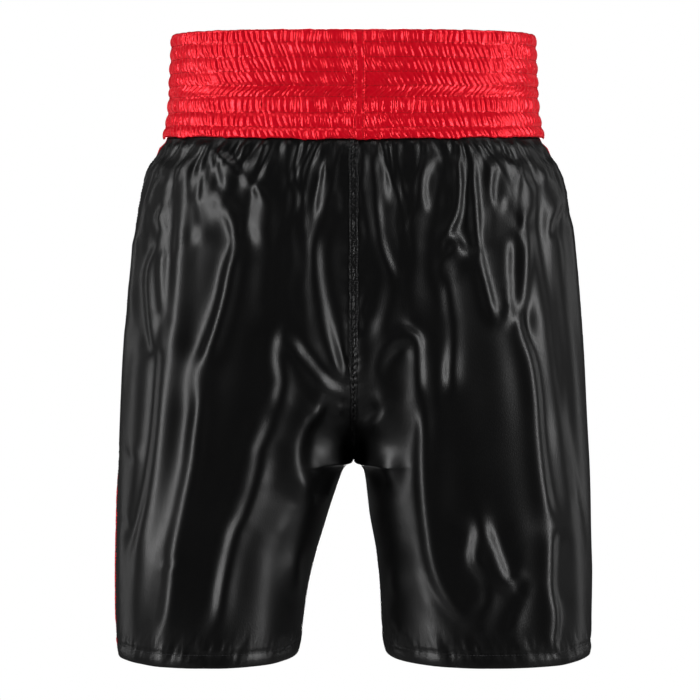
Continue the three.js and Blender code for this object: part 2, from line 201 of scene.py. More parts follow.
# ---------------------------------------------------------------- shape helpers
def table(rows, x):
    """A smooth curve through a table's points that never overshoots them."""
    keys, values = (np.array(column, float) for column in zip(*rows))
    x = float(np.clip(x, keys[0], keys[-1]))
    step = np.diff(keys)
    slope = np.diff(values) / step
    ends = np.concatenate([[slope[0]], slope, [slope[-1]]])
    before, after = ends[:-1], ends[1:]
    product = before * after
    tangent = np.where(product > 0, 2 * product / np.where(product > 0, before + after, 1), 0)
    k = min(max(int(np.searchsorted(keys, x, side="right")) - 1, 0), len(step) - 1)
    t = (x - keys[k]) / step[k]
    a, b, h = values[k], values[k + 1], step[k]
    return float(
        a * (1 + 2 * t) * (1 - t) ** 2 + b * t * t * (3 - 2 * t)
        + h * tangent[k] * t * (1 - t) ** 2 - h * tangent[k + 1] * t * t * (1 - t)
    )


def smooth(x, low, high):
    t = np.clip((x - low) / (high - low), 0, 1)
    return t * t * (3 - 2 * t)


def bell(x, width):
    """1 where x is 0, falling to nothing a few widths away."""
    return np.exp(-((x / width) ** 2))


def band_out(z):
    return np.interp(z, (BAND_FOOT, ROW_Z[6], BAND_TOP), (6.0, 1.0, -3.0))


def overlap_share(z):
    drop = np.clip((BAND_FOOT - z) / RISE, 0, 1)
    end = math.pi / 2 * (1 + 0.3 * drop + 0.7 * drop**5)
    ratio = np.abs(np.cos(end)) ** (2 / POWER)
    return (1 - ratio) / (1 + ratio)


def body_section(z):
    """Centre, half width and half depth of one leg's section at height z."""
    share = (BAND_FOOT - z) / (BAND_FOOT - HEM_Z)
    top = band_out(max(z, BAND_FOOT)) - TUCK_INSET
    outer = WAIST_HALF[0] + top + (LEG_HALF_WIDTH - WAIST_HALF[0] - top) * table(SHARE_WIDTH, share)
    depth = WAIST_HALF[1] + top + (BODY_HALF_DEPTH - WAIST_HALF[1] - top) * table(SHARE_DEPTH, share)
    if z > CROTCH_Z:
        inner = -outer * overlap_share(z)
    else:
        inner = table(LEG_SPACE, (CROTCH_Z - z) / INSEAM)
    return (outer + inner) / 2, (outer - inner) / 2, depth


def section_points(centre, half_width, half_depth, angle):
    c, s = np.cos(angle), np.sin(angle)
    k = 2 / POWER
    x = centre + half_width * np.sign(c) * np.abs(c) ** k
    return np.stack([x, half_depth * np.sign(s) * np.abs(s) ** k], -1)


def evenly(points, count):
    """count + 1 points at equal distances along a line of points."""
    step = np.linalg.norm(np.diff(points, axis=0), axis=1)
    run = np.concatenate([[0], np.cumsum(step)])
    at = np.linspace(0, run[-1], count + 1)
    return np.stack([np.interp(at, run, points[:, k]) for k in range(points.shape[1])], -1)


def stripe_shift(z, mirrored):
    """How far the side stripe wanders towards the back at height z."""
    if mirrored:
        return -5.0 + 6.0 * math.exp(-(((z + 205) / 55) ** 2))
    return -5.0 + 22.0 * float(smooth(-z, 270, 430)) + 5.0 * math.exp(-(((z + 60) / 16) ** 2))


def cloth_row(z, back_z, front_z, shift):
    """One row of the left leg's cloth at nominal height z: centre back, stripe, centre front."""
    centre, half, depth = body_section(z)
    ratio = centre / half
    end = math.pi if ratio >= 1 else math.acos(-math.copysign(abs(ratio) ** (POWER / 2), ratio))
    edge = math.asin(((STRIPE_HALF + shift) / depth) ** (POWER / 2))
    far = -math.asin(((STRIPE_HALF - shift) / depth) ** (POWER / 2))
    dense = 400
    spans = []
    for start, stop, count in (
        (end, edge, PANEL_COLUMNS), (edge, far, STRIPE_COLUMNS), (far, -end, PANEL_COLUMNS),
    ):
        line = section_points(centre, half, depth, np.linspace(start, stop, dense))
        spans.append(evenly(line, count))
    xy = np.concatenate([spans[0], spans[1][1:], spans[2][1:]])
    share = np.arange(COLUMNS + 1) / COLUMNS
    at_inseam = bell(np.minimum(share, 1 - share), 0.035)
    lift = smooth(share, 0.5, 0.85) * (1 - at_inseam) + 0.5 * at_inseam
    return np.column_stack([xy, back_z + lift * (front_z - back_z)])


def cloth_grid(mirrored):
    """The left half of the cloth, rows from the waist to the hem; the first UPPER_ROWS rows lie above
    the crotch.
    """
    upper = np.linspace(TUCK_TOP, CROTCH_Z + 0.4, UPPER_ROWS)
    lower = CROTCH_Z - 0.6 - (INSEAM - 0.6) * np.linspace(0, 1, LOWER_ROWS) ** 1.3
    rows = []
    for z in np.concatenate([upper, lower]):
        lift = FRONT_HEM_LIFT * smooth(-z, -CROTCH_Z, -HEM_Z)
        rows.append(cloth_row(z, z, z + lift, stripe_shift(z, mirrored)))
    return np.array(rows)


def grid_normals(grid, closed=False):
    """Unit normals of a grid of points, rows by columns."""
    if closed:
        along = np.roll(grid, -1, 1) - np.roll(grid, 1, 1)
    else:
        along = np.gradient(grid, axis=1)
    down = np.gradient(grid, axis=0)
    n = np.cross(along, down)
    size = np.linalg.norm(n, axis=2, keepdims=True)
    return n / np.maximum(size, 1e-9)


def outer_normals(grid, seen=None):
    """Unit normals of a grid that goes round an upright tube, turned to point out of it."""
    n = grid_normals(grid if seen is None else seen)
    row = len(grid) // 3
    return n if np.einsum("ij,ij->", n[row], grid[row] - grid[row].mean(0)) > 0 else -n


def finer(grid, axis):
    """Twice the points along one axis, on a curve through the old ones."""
    a = np.moveaxis(grid, axis, 0)
    p = np.concatenate([[2 * a[0] - a[1]], a, [2 * a[-1] - a[-2]]])
    out = np.empty((2 * len(a) - 1,) + a.shape[1:])
    out[::2], out[1::2] = a, (9 * (p[1:-2] + p[2:-1]) - p[:-3] - p[3:]) / 16
    return np.moveaxis(out, 0, axis)


def arc_lengths(grid, axis):
    """Distance run along one axis of a grid."""
    step = np.linalg.norm(np.diff(grid, axis=axis), axis=2)
    first = np.zeros_like(np.take(step, [0], axis=axis))
    return np.cumsum(np.concatenate([first, step], axis=axis), axis=axis)


def seen_at(points, facing=1):
    """Where points fall in the camera's frame of 700 steps, from the back or, mirrored, the front."""
    away = CAMERA_AT[1] - facing * points[..., 1]
    scale = CAMERA_AT[1] / MM_A_STEP / away
    x = VIEW_MIDDLE[0] - (points[..., 0] - CAMERA_AT[0]) * scale
    y = VIEW_MIDDLE[1] - (points[..., 2] - CAMERA_AT[2]) * scale
    return np.stack([x, y], -1)


def rounded(line):
    """A table's line as points, with its corners cut until it bends smoothly."""
    line = np.array(line, float).reshape(-1, 2)
    for _ in range(2):
        cut = np.stack([0.75 * line[:-1] + 0.25 * line[1:], 0.25 * line[:-1] + 0.75 * line[1:]], 1)
        line = np.concatenate([line[:1], cut.reshape(-1, 2)[1:-1], line[-1:]])
    return line


def crease_heights(grid, normal, facing, seed):
    """Small steps in the cloth, each tilted just enough to turn towards a light."""
    at = seen_at(grid, facing)
    normal = blurred(normal, 4.0, 4.0)
    tilt = np.arctan2(normal[..., 0], facing * normal[..., 1])
    if facing < 0:
        at = at.copy()
        at[..., 1] += 11 * np.sin(at[..., 0] / 31.0 + 1.0)
        at[..., 0] += 9 * np.sin(at[..., 1] / 57.0)
    flat, shape = at.reshape(-1, 2), grid.shape[:2]
    height = np.zeros(len(flat))
    rng = np.random.default_rng(seed)
    for width, strength, line in CREASES:
        line = rounded(line)
        width *= 1.35 if width < 8 else 1.15
        strength *= rng.uniform(0.9, 1.15)
        near = np.nonzero(
            (flat[:, 0] > line[:, 0].min() - 7 * width) & (flat[:, 0] < line[:, 0].max() + 7 * width)
            & (flat[:, 1] > line[:, 1].min() - 5 * width) & (flat[:, 1] < line[:, 1].max() + 5 * width)
        )[0]
        if not len(near):
            continue
        place = flat[near]
        gap, where, side, across = line_frame(place, line)
        lean = tilt.ravel()[near]
        core = gap < width
        base = float(np.median(lean[core])) if core.any() else 0.0
        px = float(np.mean(across[core, 0])) if core.any() else 1.0
        py = float(np.mean(across[core, 1])) if core.any() else 0.0
        choice = {}
        for target in (CATCH, -CATCH):
            choice[target] = -math.tan(target - base) / (math.copysign(max(abs(px), 0.45), px))
        pick = min(choice, key=lambda t: abs(choice[t]) - 0.35 * np.sign(choice[t] * py) * abs(py))
        steep = -np.tan(np.clip(pick - lean, -0.7, 0.7)) / np.where(
            np.abs(across[:, 0]) < 0.45, np.where(across[:, 0] < 0, -0.45, 0.45), across[:, 0]
        )
        steep = np.clip(steep, -0.8, 0.8) * strength
        signed = side * gap
        total = np.linalg.norm(np.diff(line, axis=0), axis=1).sum()
        fade = min(max(0.16 * total, 2.6 * width), 0.5 * total)
        ends = smooth(np.minimum(where, 1 - where) * total, 0, fade)
        u = signed / width
        fall = bell(signed, 2.1 * width)
        height[near] += steep * signed / (1 + u * u) * fall * ends
    return height.reshape(shape)


def line_frame(at, line):
    """Distance to a line, share of the way along it, which side of it, and the direction across it."""
    lengths = np.linalg.norm(np.diff(line, axis=0), axis=1)
    total, run = lengths.sum(), 0.0
    best = np.full(len(at), 1e9)
    where, side = np.zeros(len(at)), np.ones(len(at))
    across = np.zeros((len(at), 2))
    for k in range(len(line) - 1):
        a, d = line[k], line[k + 1] - line[k]
        raw = ((at - a) @ d) / (d @ d)
        t = np.clip(raw, 0, 1)
        off = at - a - t[:, None] * d
        gap = np.linalg.norm(off, axis=1)
        normal = np.array([d[1], -d[0]]) / lengths[k]
        nearer = gap < best
        best = np.where(nearer, gap, best)
        where = np.where(nearer, (run + t * lengths[k]) / total, where)
        side = np.where(nearer, np.where(off @ normal < 0, -1.0, 1.0), side)
        across = np.where(nearer[:, None], normal, across)
        run += lengths[k]
    return best, where, side, across


def wander(x, seed, octaves=4, base=1.0):
    """A smooth random curve of x, from about -1 to 1."""
    rng = np.random.default_rng(seed)
    out = np.zeros_like(np.asarray(x, float))
    for k in range(octaves):
        phase, turn = rng.uniform(0, 2 * math.pi), rng.uniform(0.8, 1.25)
        out += np.sin(x * base * turn * 1.9**k + phase) / 1.5**k
    return out / 1.8


# ---------------------------------------------------------------- mesh helpers
def link(name, points, faces, uv=None, smooth_shade=True):
    """A mesh object from points in millimetres."""
    mesh = bpy.data.meshes.new(name)
    mesh.from_pydata((np.asarray(points) * 0.001).tolist(), [], faces)
    if uv is not None:
        layer = mesh.uv_layers.new(name="Cloth")
        loops = np.zeros(len(mesh.loops), np.int32)
        mesh.loops.foreach_get("vertex_index", loops)
        layer.data.foreach_set("uv", np.asarray(uv, np.float32)[loops].ravel() * 0.001)
    if smooth_shade:
        mesh.polygons.foreach_set("use_smooth", [True] * len(mesh.polygons))
    mesh.update()
    obj = bpy.data.objects.new(name, mesh)
    bpy.context.scene.collection.objects.link(obj)
    return obj


def quads(rows, columns, closed_columns=False):
    """Faces of a grid of rows by columns, as an array of four indices each."""
    i = np.arange(rows - 1)[:, None] * columns
    j = np.arange(columns if closed_columns else columns - 1)[None, :]
    k = (j + 1) % columns
    return np.stack([i + j, i + columns + j, i + columns + k, i + k], -1).reshape(-1, 4)


def outward(obj, hint):
    """Turns an object's faces over if its volume says that they point in."""
    mesh = obj.data
    mesh.calc_loop_triangles()
    p = np.zeros(len(mesh.vertices) * 3)
    mesh.vertices.foreach_get("co", p)
    p = p.reshape(-1, 3)
    t = np.zeros(len(mesh.loop_triangles) * 3, np.int32)
    mesh.loop_triangles.foreach_get("vertices", t)
    a, b, c = p[t.reshape(-1, 3)].transpose(1, 0, 2)
    if hint * np.einsum("ij,ij->i", a, np.cross(b, c)).sum() < 0:
        mesh.flip_normals()
    return obj


def shell(name, grid, thickness=CLOTH_THICKNESS, closed=False, uv=None):
    """A closed thin sheet: the grid is its outer face, its columns may close into a ring."""
    rows, columns = grid.shape[:2]
    n = grid_normals(grid, closed)
    middle = grid.reshape(-1, 3).mean(0)
    if np.einsum("ijk,ijk->", n, grid - middle) < 0:
        n = -n
    inner = grid - n * thickness
    count = rows * columns
    top = quads(rows, columns, closed)
    under = top[:, ::-1] + count
    faces = [top, under]
    ring = np.arange(columns)
    last = (rows - 1) * columns
    if closed:
        nxt = np.roll(ring, -1)
    else:
        ring, nxt = ring[:-1], ring[1:]
        side = np.arange(rows - 1) * columns
        right = side + columns - 1
        faces.append(np.stack([side, side + count, side + columns + count, side + columns], -1))
        faces.append(np.stack([right, right + columns, right + columns + count, right + count], -1))
    faces.append(np.stack([ring, nxt, nxt + count, ring + count], -1))
    faces.append(np.stack([last + ring, last + ring + count, last + nxt + count, last + nxt], -1))
    points = np.concatenate([grid.reshape(-1, 3), inner.reshape(-1, 3)])
    if uv is None:
        uv = np.stack([arc_lengths(grid, 1), arc_lengths(grid, 0)], -1)
    uvs = np.concatenate([uv.reshape(-1, 2)] * 2)
    obj = link(name, points, np.concatenate(faces).tolist(), uvs)
    return outward(obj, 1)


# ---------------------------------------------------------------- shader helpers
class Value:
    """A socket that takes part in sums."""

    def __init__(self, nodes, socket):
        self.nodes, self.socket = nodes, socket

    def _with(self, other, operation, swap=False):
        a, b = (other, self) if swap else (self, other)
        return self.nodes.math(operation, a, b)

    def __add__(self, other):
        return self._with(other, "ADD")

    def __sub__(self, other):
        return self._with(other, "SUBTRACT")

    def __rsub__(self, other):
        return self._with(other, "SUBTRACT", True)

    def __mul__(self, other):
        return self._with(other, "MULTIPLY")

    __radd__, __rmul__ = __add__, __mul__


class Nodes:
    """Adds nodes to one material."""

    def __init__(self, tree):
        self.tree = tree
        tree.nodes.clear()

    def add(self, kind, settings=None, inputs=None, output=0):
        node = self.tree.nodes.new(kind)
        for name, value in (settings or {}).items():
            if name == "ramp":
                while len(node.color_ramp.elements) < len(value):
                    node.color_ramp.elements.new(0.5)
                for element, (at, colour) in zip(node.color_ramp.elements, value):
                    element.position, element.color = at, colour
            else:
                setattr(node, name, value)
        for name, value in (inputs or {}).items():
            self.put(node.inputs[name], value)
        return Value(self, node.outputs[output]) if node.outputs else None

    def put(self, socket, value):
        if isinstance(value, Value):
            self.tree.links.new(value.socket, socket)
        else:
            socket.default_value = value

    def math(self, operation, a, b=0.0):
        node = self.tree.nodes.new("ShaderNodeMath")
        node.operation = operation
        self.put(node.inputs[0], a)
        self.put(node.inputs[1], b)
        return Value(self, node.outputs[0])

    def mix(self, factor, a, b):
        node = self.tree.nodes.new("ShaderNodeMix")
        node.data_type = "RGBA"
        self.put(node.inputs[0], factor)
        sockets = [s for s in node.inputs if s.type == "RGBA"]
        self.put(sockets[0], a)
        self.put(sockets[1], b)
        return Value(self, [s for s in node.outputs if s.type == "RGBA"][0])


def rgba(colour, share=1.0):
    return tuple(min(1.0, c * share) for c in colour[:3]) + (1.0,)


def new_material(name):
    material = bpy.data.materials.get(name) or bpy.data.materials.new(name)
    material.use_nodes = True
    return material, Nodes(material.node_tree)


def satin(name, colour, roughness, specular, metal, pucker=0.0):
    """Satin: long floats that shine, a fine twill under them, and slow changes in gloss."""
    material, nodes = new_material(name)
    uv = nodes.add("ShaderNodeUVMap", {"uv_map": "Cloth"})
    floats = nodes.add(
        "ShaderNodeTexWave",
        {"wave_type": "BANDS", "bands_direction": "DIAGONAL"},
        {"Vector": uv, "Scale": 1000.0 / WEAVE_MM / 4.2, "Distortion": 0.3},
        1,
    )
    stretched = nodes.add("ShaderNodeMapping", None, {"Vector": uv, "Scale": (900.0, 420.0, 1.0)})
    slubs = nodes.add("ShaderNodeTexNoise", None, {"Vector": stretched, "Scale": 1.0, "Detail": 2.0})
    place = nodes.add("ShaderNodeTexCoord", None, None, 3)
    slow = nodes.add("ShaderNodeTexNoise", None, {"Vector": place, "Scale": 16.0, "Detail": 3.0})
    gloss = roughness - 0.07 + 0.08 * slow + 0.06 * slubs
    base = nodes.mix(0.1 * slubs + 0.12 * floats, rgba(colour), rgba(colour, 1.5))
    bump = nodes.add(
        "ShaderNodeBump",
        None,
        {"Height": 0.05 * floats + 1.0 * slubs, "Strength": 0.35, "Distance": 0.0003},
    )
    if pucker:
        drawn = nodes.add(
            "ShaderNodeMapping", None,
            {"Vector": uv, "Scale": (330.0, 75.0, 1.0), "Rotation": (0.0, 0.0, 0.25)},
        )
        creases = nodes.add(
            "ShaderNodeTexNoise", None,
            {"Vector": drawn, "Scale": 1.0, "Detail": 2.0, "Distortion": 0.6},
        )
        bump = nodes.add(
            "ShaderNodeBump", None,
            {"Height": creases, "Strength": 1.0, "Distance": pucker, "Normal": bump},
        )
    shader = nodes.add(
        "ShaderNodeBsdfPrincipled",
        None,
        {
            "Base Color": base,
            "Roughness": gloss,
            "Normal": bump,
            "Specular IOR Level": specular,
            "Metallic": metal,
        },
    )
    nodes.add("ShaderNodeOutputMaterial", None, {"Surface": shader})
    return material


def plain_weave(name, colour, roughness, scale, depth):
    """Thread, elastic and label: crossed ribs with a little change in colour."""
    material, nodes = new_material(name)
    place = nodes.add("ShaderNodeTexCoord", None, None, 3)
    ribs = nodes.add(
        "ShaderNodeTexWave", {"bands_direction": "Z"}, {"Vector": place, "Scale": scale}, 1
    )
    cross = nodes.add(
        "ShaderNodeTexWave", {"bands_direction": "X"}, {"Vector": place, "Scale": scale}, 1
    )
    spots = nodes.add("ShaderNodeTexNoise", None, {"Vector": place, "Scale": 180.0, "Detail": 2.0})
    woven = 0.5 * ribs + 0.5 * cross
    base = nodes.mix(0.5 * spots + 0.3 * woven, rgba(colour, 0.8), rgba(colour, 1.15))
    bump = nodes.add(
        "ShaderNodeBump", None, {"Height": woven, "Strength": 0.4, "Distance": depth}
    )
    shader = nodes.add(
        "ShaderNodeBsdfPrincipled",
        None,
        {"Base Color": base, "Roughness": roughness + 0.1 * spots, "Normal": bump},
    )
    nodes.add("ShaderNodeOutputMaterial", None, {"Surface": shader})
    return material


MATERIALS = {}


def make_materials(settings):
    red, black = settings.red, settings.black
    MATERIALS["red_satin"] = satin("red_satin", red, 0.30, 0.44, 0.38, 0.0004)
    MATERIALS["black_satin"] = satin("black_satin", black, 0.36, 0.37, 0.0)
    MATERIALS["elastic"] = plain_weave("elastic", (0.80, 0.78, 0.73), 0.8, 400.0, 0.0003)
    MATERIALS["red_thread"] = plain_weave("red_thread", (0.50, 0.002, 0.008), 0.8, 900.0, 0.0001)
    MATERIALS["black_thread"] = plain_weave("black_thread", (0.02, 0.02, 0.022), 0.5, 900.0, 0.0001)
    MATERIALS["label"] = plain_weave("label", (0.86, 0.85, 0.82), 0.5, 700.0, 0.0001)


def finish_piece(obj, slot, nodes=()):
    obj.data.materials.clear()
    obj.data.materials.append(MATERIALS[slot])
    if nodes:
        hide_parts(*nodes)
    return obj


def on_leg(obj, side):
    """Bakes the object's placement into its points."""
    sign = 1 if side == "left" else -1
    start = Vector((0.0, 0.0, CROTCH_Z * 0.001))
    end = start + Vector((sign * 0.12, 0.0, -0.12))
    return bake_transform(obj)


# ---------------------------------------------------------------- stitches
def stitch_tree():
    """Geometry nodes: short rounded threads laid end to end along every edge of a line."""
    tree = bpy.data.node_groups.new("StitchRow", "GeometryNodeTree")
    face = tree.interface
    face.new_socket("Geometry", in_out="INPUT", socket_type="NodeSocketGeometry")
    wanted = (("Pitch", 0.003), ("Thread Radius", 0.0003), ("Stitch Share", 0.78))
    for name, value in wanted:
        socket = face.new_socket(name, in_out="INPUT", socket_type="NodeSocketFloat")
        socket.default_value = value
    face.new_socket("Material", in_out="INPUT", socket_type="NodeSocketMaterial")
    face.new_socket("Geometry", in_out="OUTPUT", socket_type="NodeSocketGeometry")

    def node(kind, **settings):
        made = tree.nodes.new(kind)
        for key, value in settings.items():
            setattr(made, key, value)
        return made

    ends, out = node("NodeGroupInput"), node("NodeGroupOutput")
    curve = node("GeometryNodeMeshToCurve")
    resample = node("GeometryNodeResampleCurve")
    if "Mode" in resample.inputs:
        resample.inputs["Mode"].default_value = "Length"
    else:
        resample.mode = "LENGTH"
    points = node("GeometryNodeCurveToPoints", mode="EVALUATED")
    thread = node("GeometryNodeMeshUVSphere")
    thread.inputs["Segments"].default_value = 6
    thread.inputs["Rings"].default_value = 5
    thread.inputs["Radius"].default_value = 1.0
    half = node("ShaderNodeMath", operation="MULTIPLY")
    half.inputs[1].default_value = 0.5
    share = node("ShaderNodeMath", operation="MULTIPLY")
    size = node("ShaderNodeCombineXYZ")
    shape = node("GeometryNodeTransform")
    place = node("GeometryNodeInstanceOnPoints")
    real = node("GeometryNodeRealizeInstances")
    paint = node("GeometryNodeSetMaterial")
    shade = node("GeometryNodeSetShadeSmooth")
    for start, out_name, end, in_name in (
        (ends, "Geometry", curve, "Mesh"), (curve, "Curve", resample, "Curve"),
        (ends, "Pitch", resample, "Length"), (resample, "Curve", points, "Curve"),
        (ends, "Pitch", half, 0), (half, 0, share, 0), (ends, "Stitch Share", share, 1),
        (ends, "Thread Radius", size, "X"), (ends, "Thread Radius", size, "Y"), (share, 0, size, "Z"),
        (thread, "Mesh", shape, "Geometry"), (size, 0, shape, "Scale"),
        (points, "Points", place, "Points"), (shape, "Geometry", place, "Instance"),
        (points, "Rotation", place, "Rotation"), (place, "Instances", real, "Geometry"),
        (real, "Geometry", shade, "Geometry"), (shade, "Geometry", paint, "Geometry"),
        (ends, "Material", paint, "Material"), (paint, "Geometry", out, "Geometry"),
    ):
        tree.links.new(start.outputs[out_name], end.inputs[in_name])
    return tree


def stitches(name, lines, slot, settings, pitch=None, radius=None, nodes=()):
    """A plain mesh of stitches along lines of points; a line is (points, closed)."""
    points, edges = [], []
    for line, closed in lines:
        first = len(points)
        points += (np.asarray(line) * 0.001).tolist()
        edges += [(first + k, first + k + 1) for k in range(len(line) - 1)]
        if closed:
            edges.append((first + len(line) - 1, first))
    mesh = bpy.data.meshes.new(name + "_line")
    mesh.from_pydata(points, edges, [])
    source = bpy.data.objects.new(name + "_line", mesh)
    bpy.context.scene.collection.objects.link(source)
    tree = bpy.data.node_groups.get("StitchRow") or stitch_tree()
    modifier = source.modifiers.new("Stitches", "NODES")
    modifier.node_group = tree
    values = {
        "Pitch": pitch or settings.stitch_pitch,
        "Thread Radius": radius or settings.thread_radius,
        "Material": MATERIALS[slot],
    }
    for item in tree.interface.items_tree:
        if item.in_out == "INPUT" and item.name in values:
            modifier[item.identifier] = values[item.name]
    bpy.context.view_layer.update()
    graph = bpy.context.evaluated_depsgraph_get()
    result = bpy.data.meshes.new_from_object(source.evaluated_get(graph), depsgraph=graph)
    source.modifiers.clear()
    bpy.data.objects.remove(source)
    result.name = name
    if not result.polygons:
        raise RuntimeError(f"{name}: the stitch nodes made nothing")
    obj = bpy.data.objects.new(name, result)
    bpy.context.scene.collection.objects.link(obj)
    return finish_piece(obj, slot, nodes)


# ---------------------------------------------------------------- waistband
class Pleats:
    """One row's pleats: unevenly spaced round the band, and slanted by an amount that wanders."""

    def __init__(self, rng, pitch, slant, seed):
        count = int(1 / pitch)
        self.valleys = (np.arange(count) + rng.uniform(-0.3, 0.3, count)) / count
        self.pitch, self.slant, self.seed = 1 / count, slant, seed
        self.strength = rng.uniform(0.45, 1.1, count + 2)

    def crest(self, s, t):
        """0 in a valley and 1 on a crest, with the pleat's own strength, at places s and share t."""
        lean = 1.3 * self.slant + 0.5 * wander(s * 2 * math.pi * 7, self.seed, 3)
        lean += 0.4 * wander(s * 2 * math.pi * 31, self.seed + 3, 2)
        curl = lean * (t - 0.5) + 0.08 * math.sin(2 * math.pi * t)
        at = np.mod(s - curl * self.pitch, 1.0)
        ends = np.concatenate([[self.valleys[-1] - 1], self.valleys, [self.valleys[0] + 1]])
        k = np.clip(np.searchsorted(ends, at, side="right") - 1, 0, len(ends) - 2)
        f = np.clip((at - ends[k]) / (ends[k + 1] - ends[k]), 0, 1)
        return np.sin(math.pi * f) ** 0.8, self.strength[k]


def band_ring(inset, z, columns):
    """Points round the band at equal distances, from the wearer's left side."""
    out = float(band_out(z)) - inset
    turn = np.linspace(0, 2 * math.pi, 1601)
    line = section_points(0, WAIST_HALF[0] + out, WAIST_HALF[1] + out, turn)
    return evenly(line, columns)[:-1]


def band_lift(x):
    """The band sits a little higher at the sides than at the middle of the back."""
    return 4.4 * (np.abs(x) / WAIST_HALF[0]) ** 1.6 - 1.7


def waistband_grid(settings):
    """The casing's surface: rows run up the outside, over the fold and down the inside."""
    columns = settings.band_columns
    rng = np.random.default_rng(settings.seed)
    slants = (0.3, 0.9, 1.0, 1.3, -1.4, 0.4, 0.7, 0.9)
    pitch = settings.pleat_pitch / (2 * sum(WAIST_HALF) * 1.66)
    pleats = [Pleats(rng, pitch, slant, 20 + 5 * k) for k, slant in enumerate(slants)]
    small = [Pleats(rng, 0.55 * pitch, slant, 80 + 5 * k) for k, slant in enumerate(slants)]
    s = np.arange(columns) / columns
    rows, marks = [], []

    def outer_row(r, t):
        """Row r counted from the top; t runs from its upper stitch line to its lower one."""
        foot, top = ROW_Z[r + 1], ROW_Z[r]
        z = top + (foot - top) * t
        bulge = np.sin(math.pi * t) ** 0.62
        crest, strength = pleats[r].crest(s, t)
        fine = small[r].crest(s, t)[0]
        ends = np.exp(-t / 0.2) + np.exp(-(1 - t) / 0.2)
        depth = settings.pleat_depth * strength
        groove = 2.3 + (0.6 if (r == 4 and t > 0.5) or (r == 5 and t < 0.5) else 0.0)
        inset = groove * (1 - bulge) + depth * (1 - crest) * (0.3 + 0.7 * bulge)
        inset += (0.25 + 0.45 * np.clip(ends, 0, 1)) * (1 - fine)
        inset += 0.25 * wander(s * 2 * math.pi * 9, 40 + r) * bulge
        if r == 4:
            inset += 0.45 * bulge
        shift = 1.5 * math.sin(math.pi * t) * (1 if r == 3 else 0) * -1
        sway = 0.8 * wander(s * 2 * math.pi * 5, 7 + r)
        edge = (1 if r == len(ROW_Z) - 2 else 0) * t**3
        lower = 1.6 * wander(s * 2 * math.pi * 12, 91) * edge
        return np.clip(inset, -0.2, 2.95), z + shift * 0.5 + sway * 0.5 - lower

    for r in range(len(ROW_Z) - 2, -1, -1):
        count = settings.row_steps
        ts = (np.arange(count) + 0.5) / count if r else (np.arange(count) + 1.2) / (count + 1)
        for t in ts[::-1]:
            rows.append(outer_row(r, float(t)))
            marks.append(r)
    ripple = wander(s * 2 * math.pi * 24, 12) * 0.35 + wander(s * 2 * math.pi * 60, 13) * 0.2
    fold = ((0.9, -1.5), (1.5, -0.6), (2.5, 0.0), (3.8, 0.2), (5.0, 0.0), (6.2, -0.8), (6.9, -2.0))
    for inset, z in fold:
        rows.append((inset + 0.3 * ripple, BAND_TOP + z + ripple * 0.8))
    for r in range(len(ROW_Z) - 1):
        for t in (0.0, 0.5):
            z = ROW_Z[r] + (ROW_Z[r + 1] - ROW_Z[r]) * t
            if z > BAND_TOP - 3.5:
                continue
            crest = pleats[r].crest(s, t)[0]
            rows.append((6.9 + 0.6 * math.sin(math.pi * t) + 0.35 * (crest - 0.5), z + 0 * s))
    rows.append((7.0 + 0 * s, BAND_FOOT - 0.2 + 0 * s))
    rows.append((6.0 + 0 * s, BAND_FOOT - 0.2 + 0 * s))
    hollow = (BAND_FOOT + 4, ROW_Z[6], BAND_TOP - 3.2)
    for inset, heights in ((5.9, hollow), (3.2, hollow[::-1])):
        rows += [(inset + 0 * s, z + 0 * s) for z in heights]
    rows.append((3.1 + 0 * s, BAND_FOOT + 0.6 + 0 * s))
    points = []
    for inset, z in rows:
        middle = float(np.mean(z))
        ring = band_ring(0.0, np.clip(middle, BAND_FOOT, BAND_TOP), columns)
        along = np.roll(ring, -1, 0) - np.roll(ring, 1, 0)
        normal = np.stack([along[:, 1], -along[:, 0]], -1)
        normal /= np.linalg.norm(normal, axis=1, keepdims=True)
        xy = ring - normal * np.broadcast_to(inset, (columns,))[:, None]
        down = np.clip((BAND_TOP - middle) / (BAND_TOP - BAND_FOOT), 0, 1)
        height = np.broadcast_to(z, (columns,)) + band_lift(ring[:, 0]) * (0.25 + 0.75 * down)
        points.append(np.column_stack([xy, height]))
    return np.array(points), marks


def outer_band_at(grid, marks, x_low, x_high):
    """The band's outer rows between two places at the back."""
    rows = grid[: len(marks)]
    back = (rows[0, :, 1] > 0) & (rows[0, :, 0] >= x_low - 3) & (rows[0, :, 0] <= x_high + 3)
    return rows[:, back]


# ---------------------------------------------------------------- cloth body
def fold_heights(grid, facing, settings, seed):
    """Height of the listed folds over a grid of the cloth."""
    at = seen_at(grid, facing)
    if facing < 0:
        at = at.copy()
        at[..., 1] += 9 * np.sin(at[..., 0] / 37.0)
    height = np.zeros(grid.shape[:2])
    for k, (rise, width, line) in enumerate(BACK_FOLDS):
        gap, where = (a.reshape(at.shape[:2]) for a in line_frame(at.reshape(-1, 2), rounded(line))[:2])
        ends = np.clip(np.minimum(where, 1 - where) / 0.12, 0, 1) ** 0.7
        uneven = 1 + 0.2 * wander(where * 9, seed + k)
        ridge = np.exp(-((gap / width) ** 2) / 2) - 0.4 * np.exp(-((gap / (2.3 * width)) ** 2) / 2)
        height += rise * ridge * (0.25 + 0.75 * ends) * uneven
    return height * settings.fold_scale


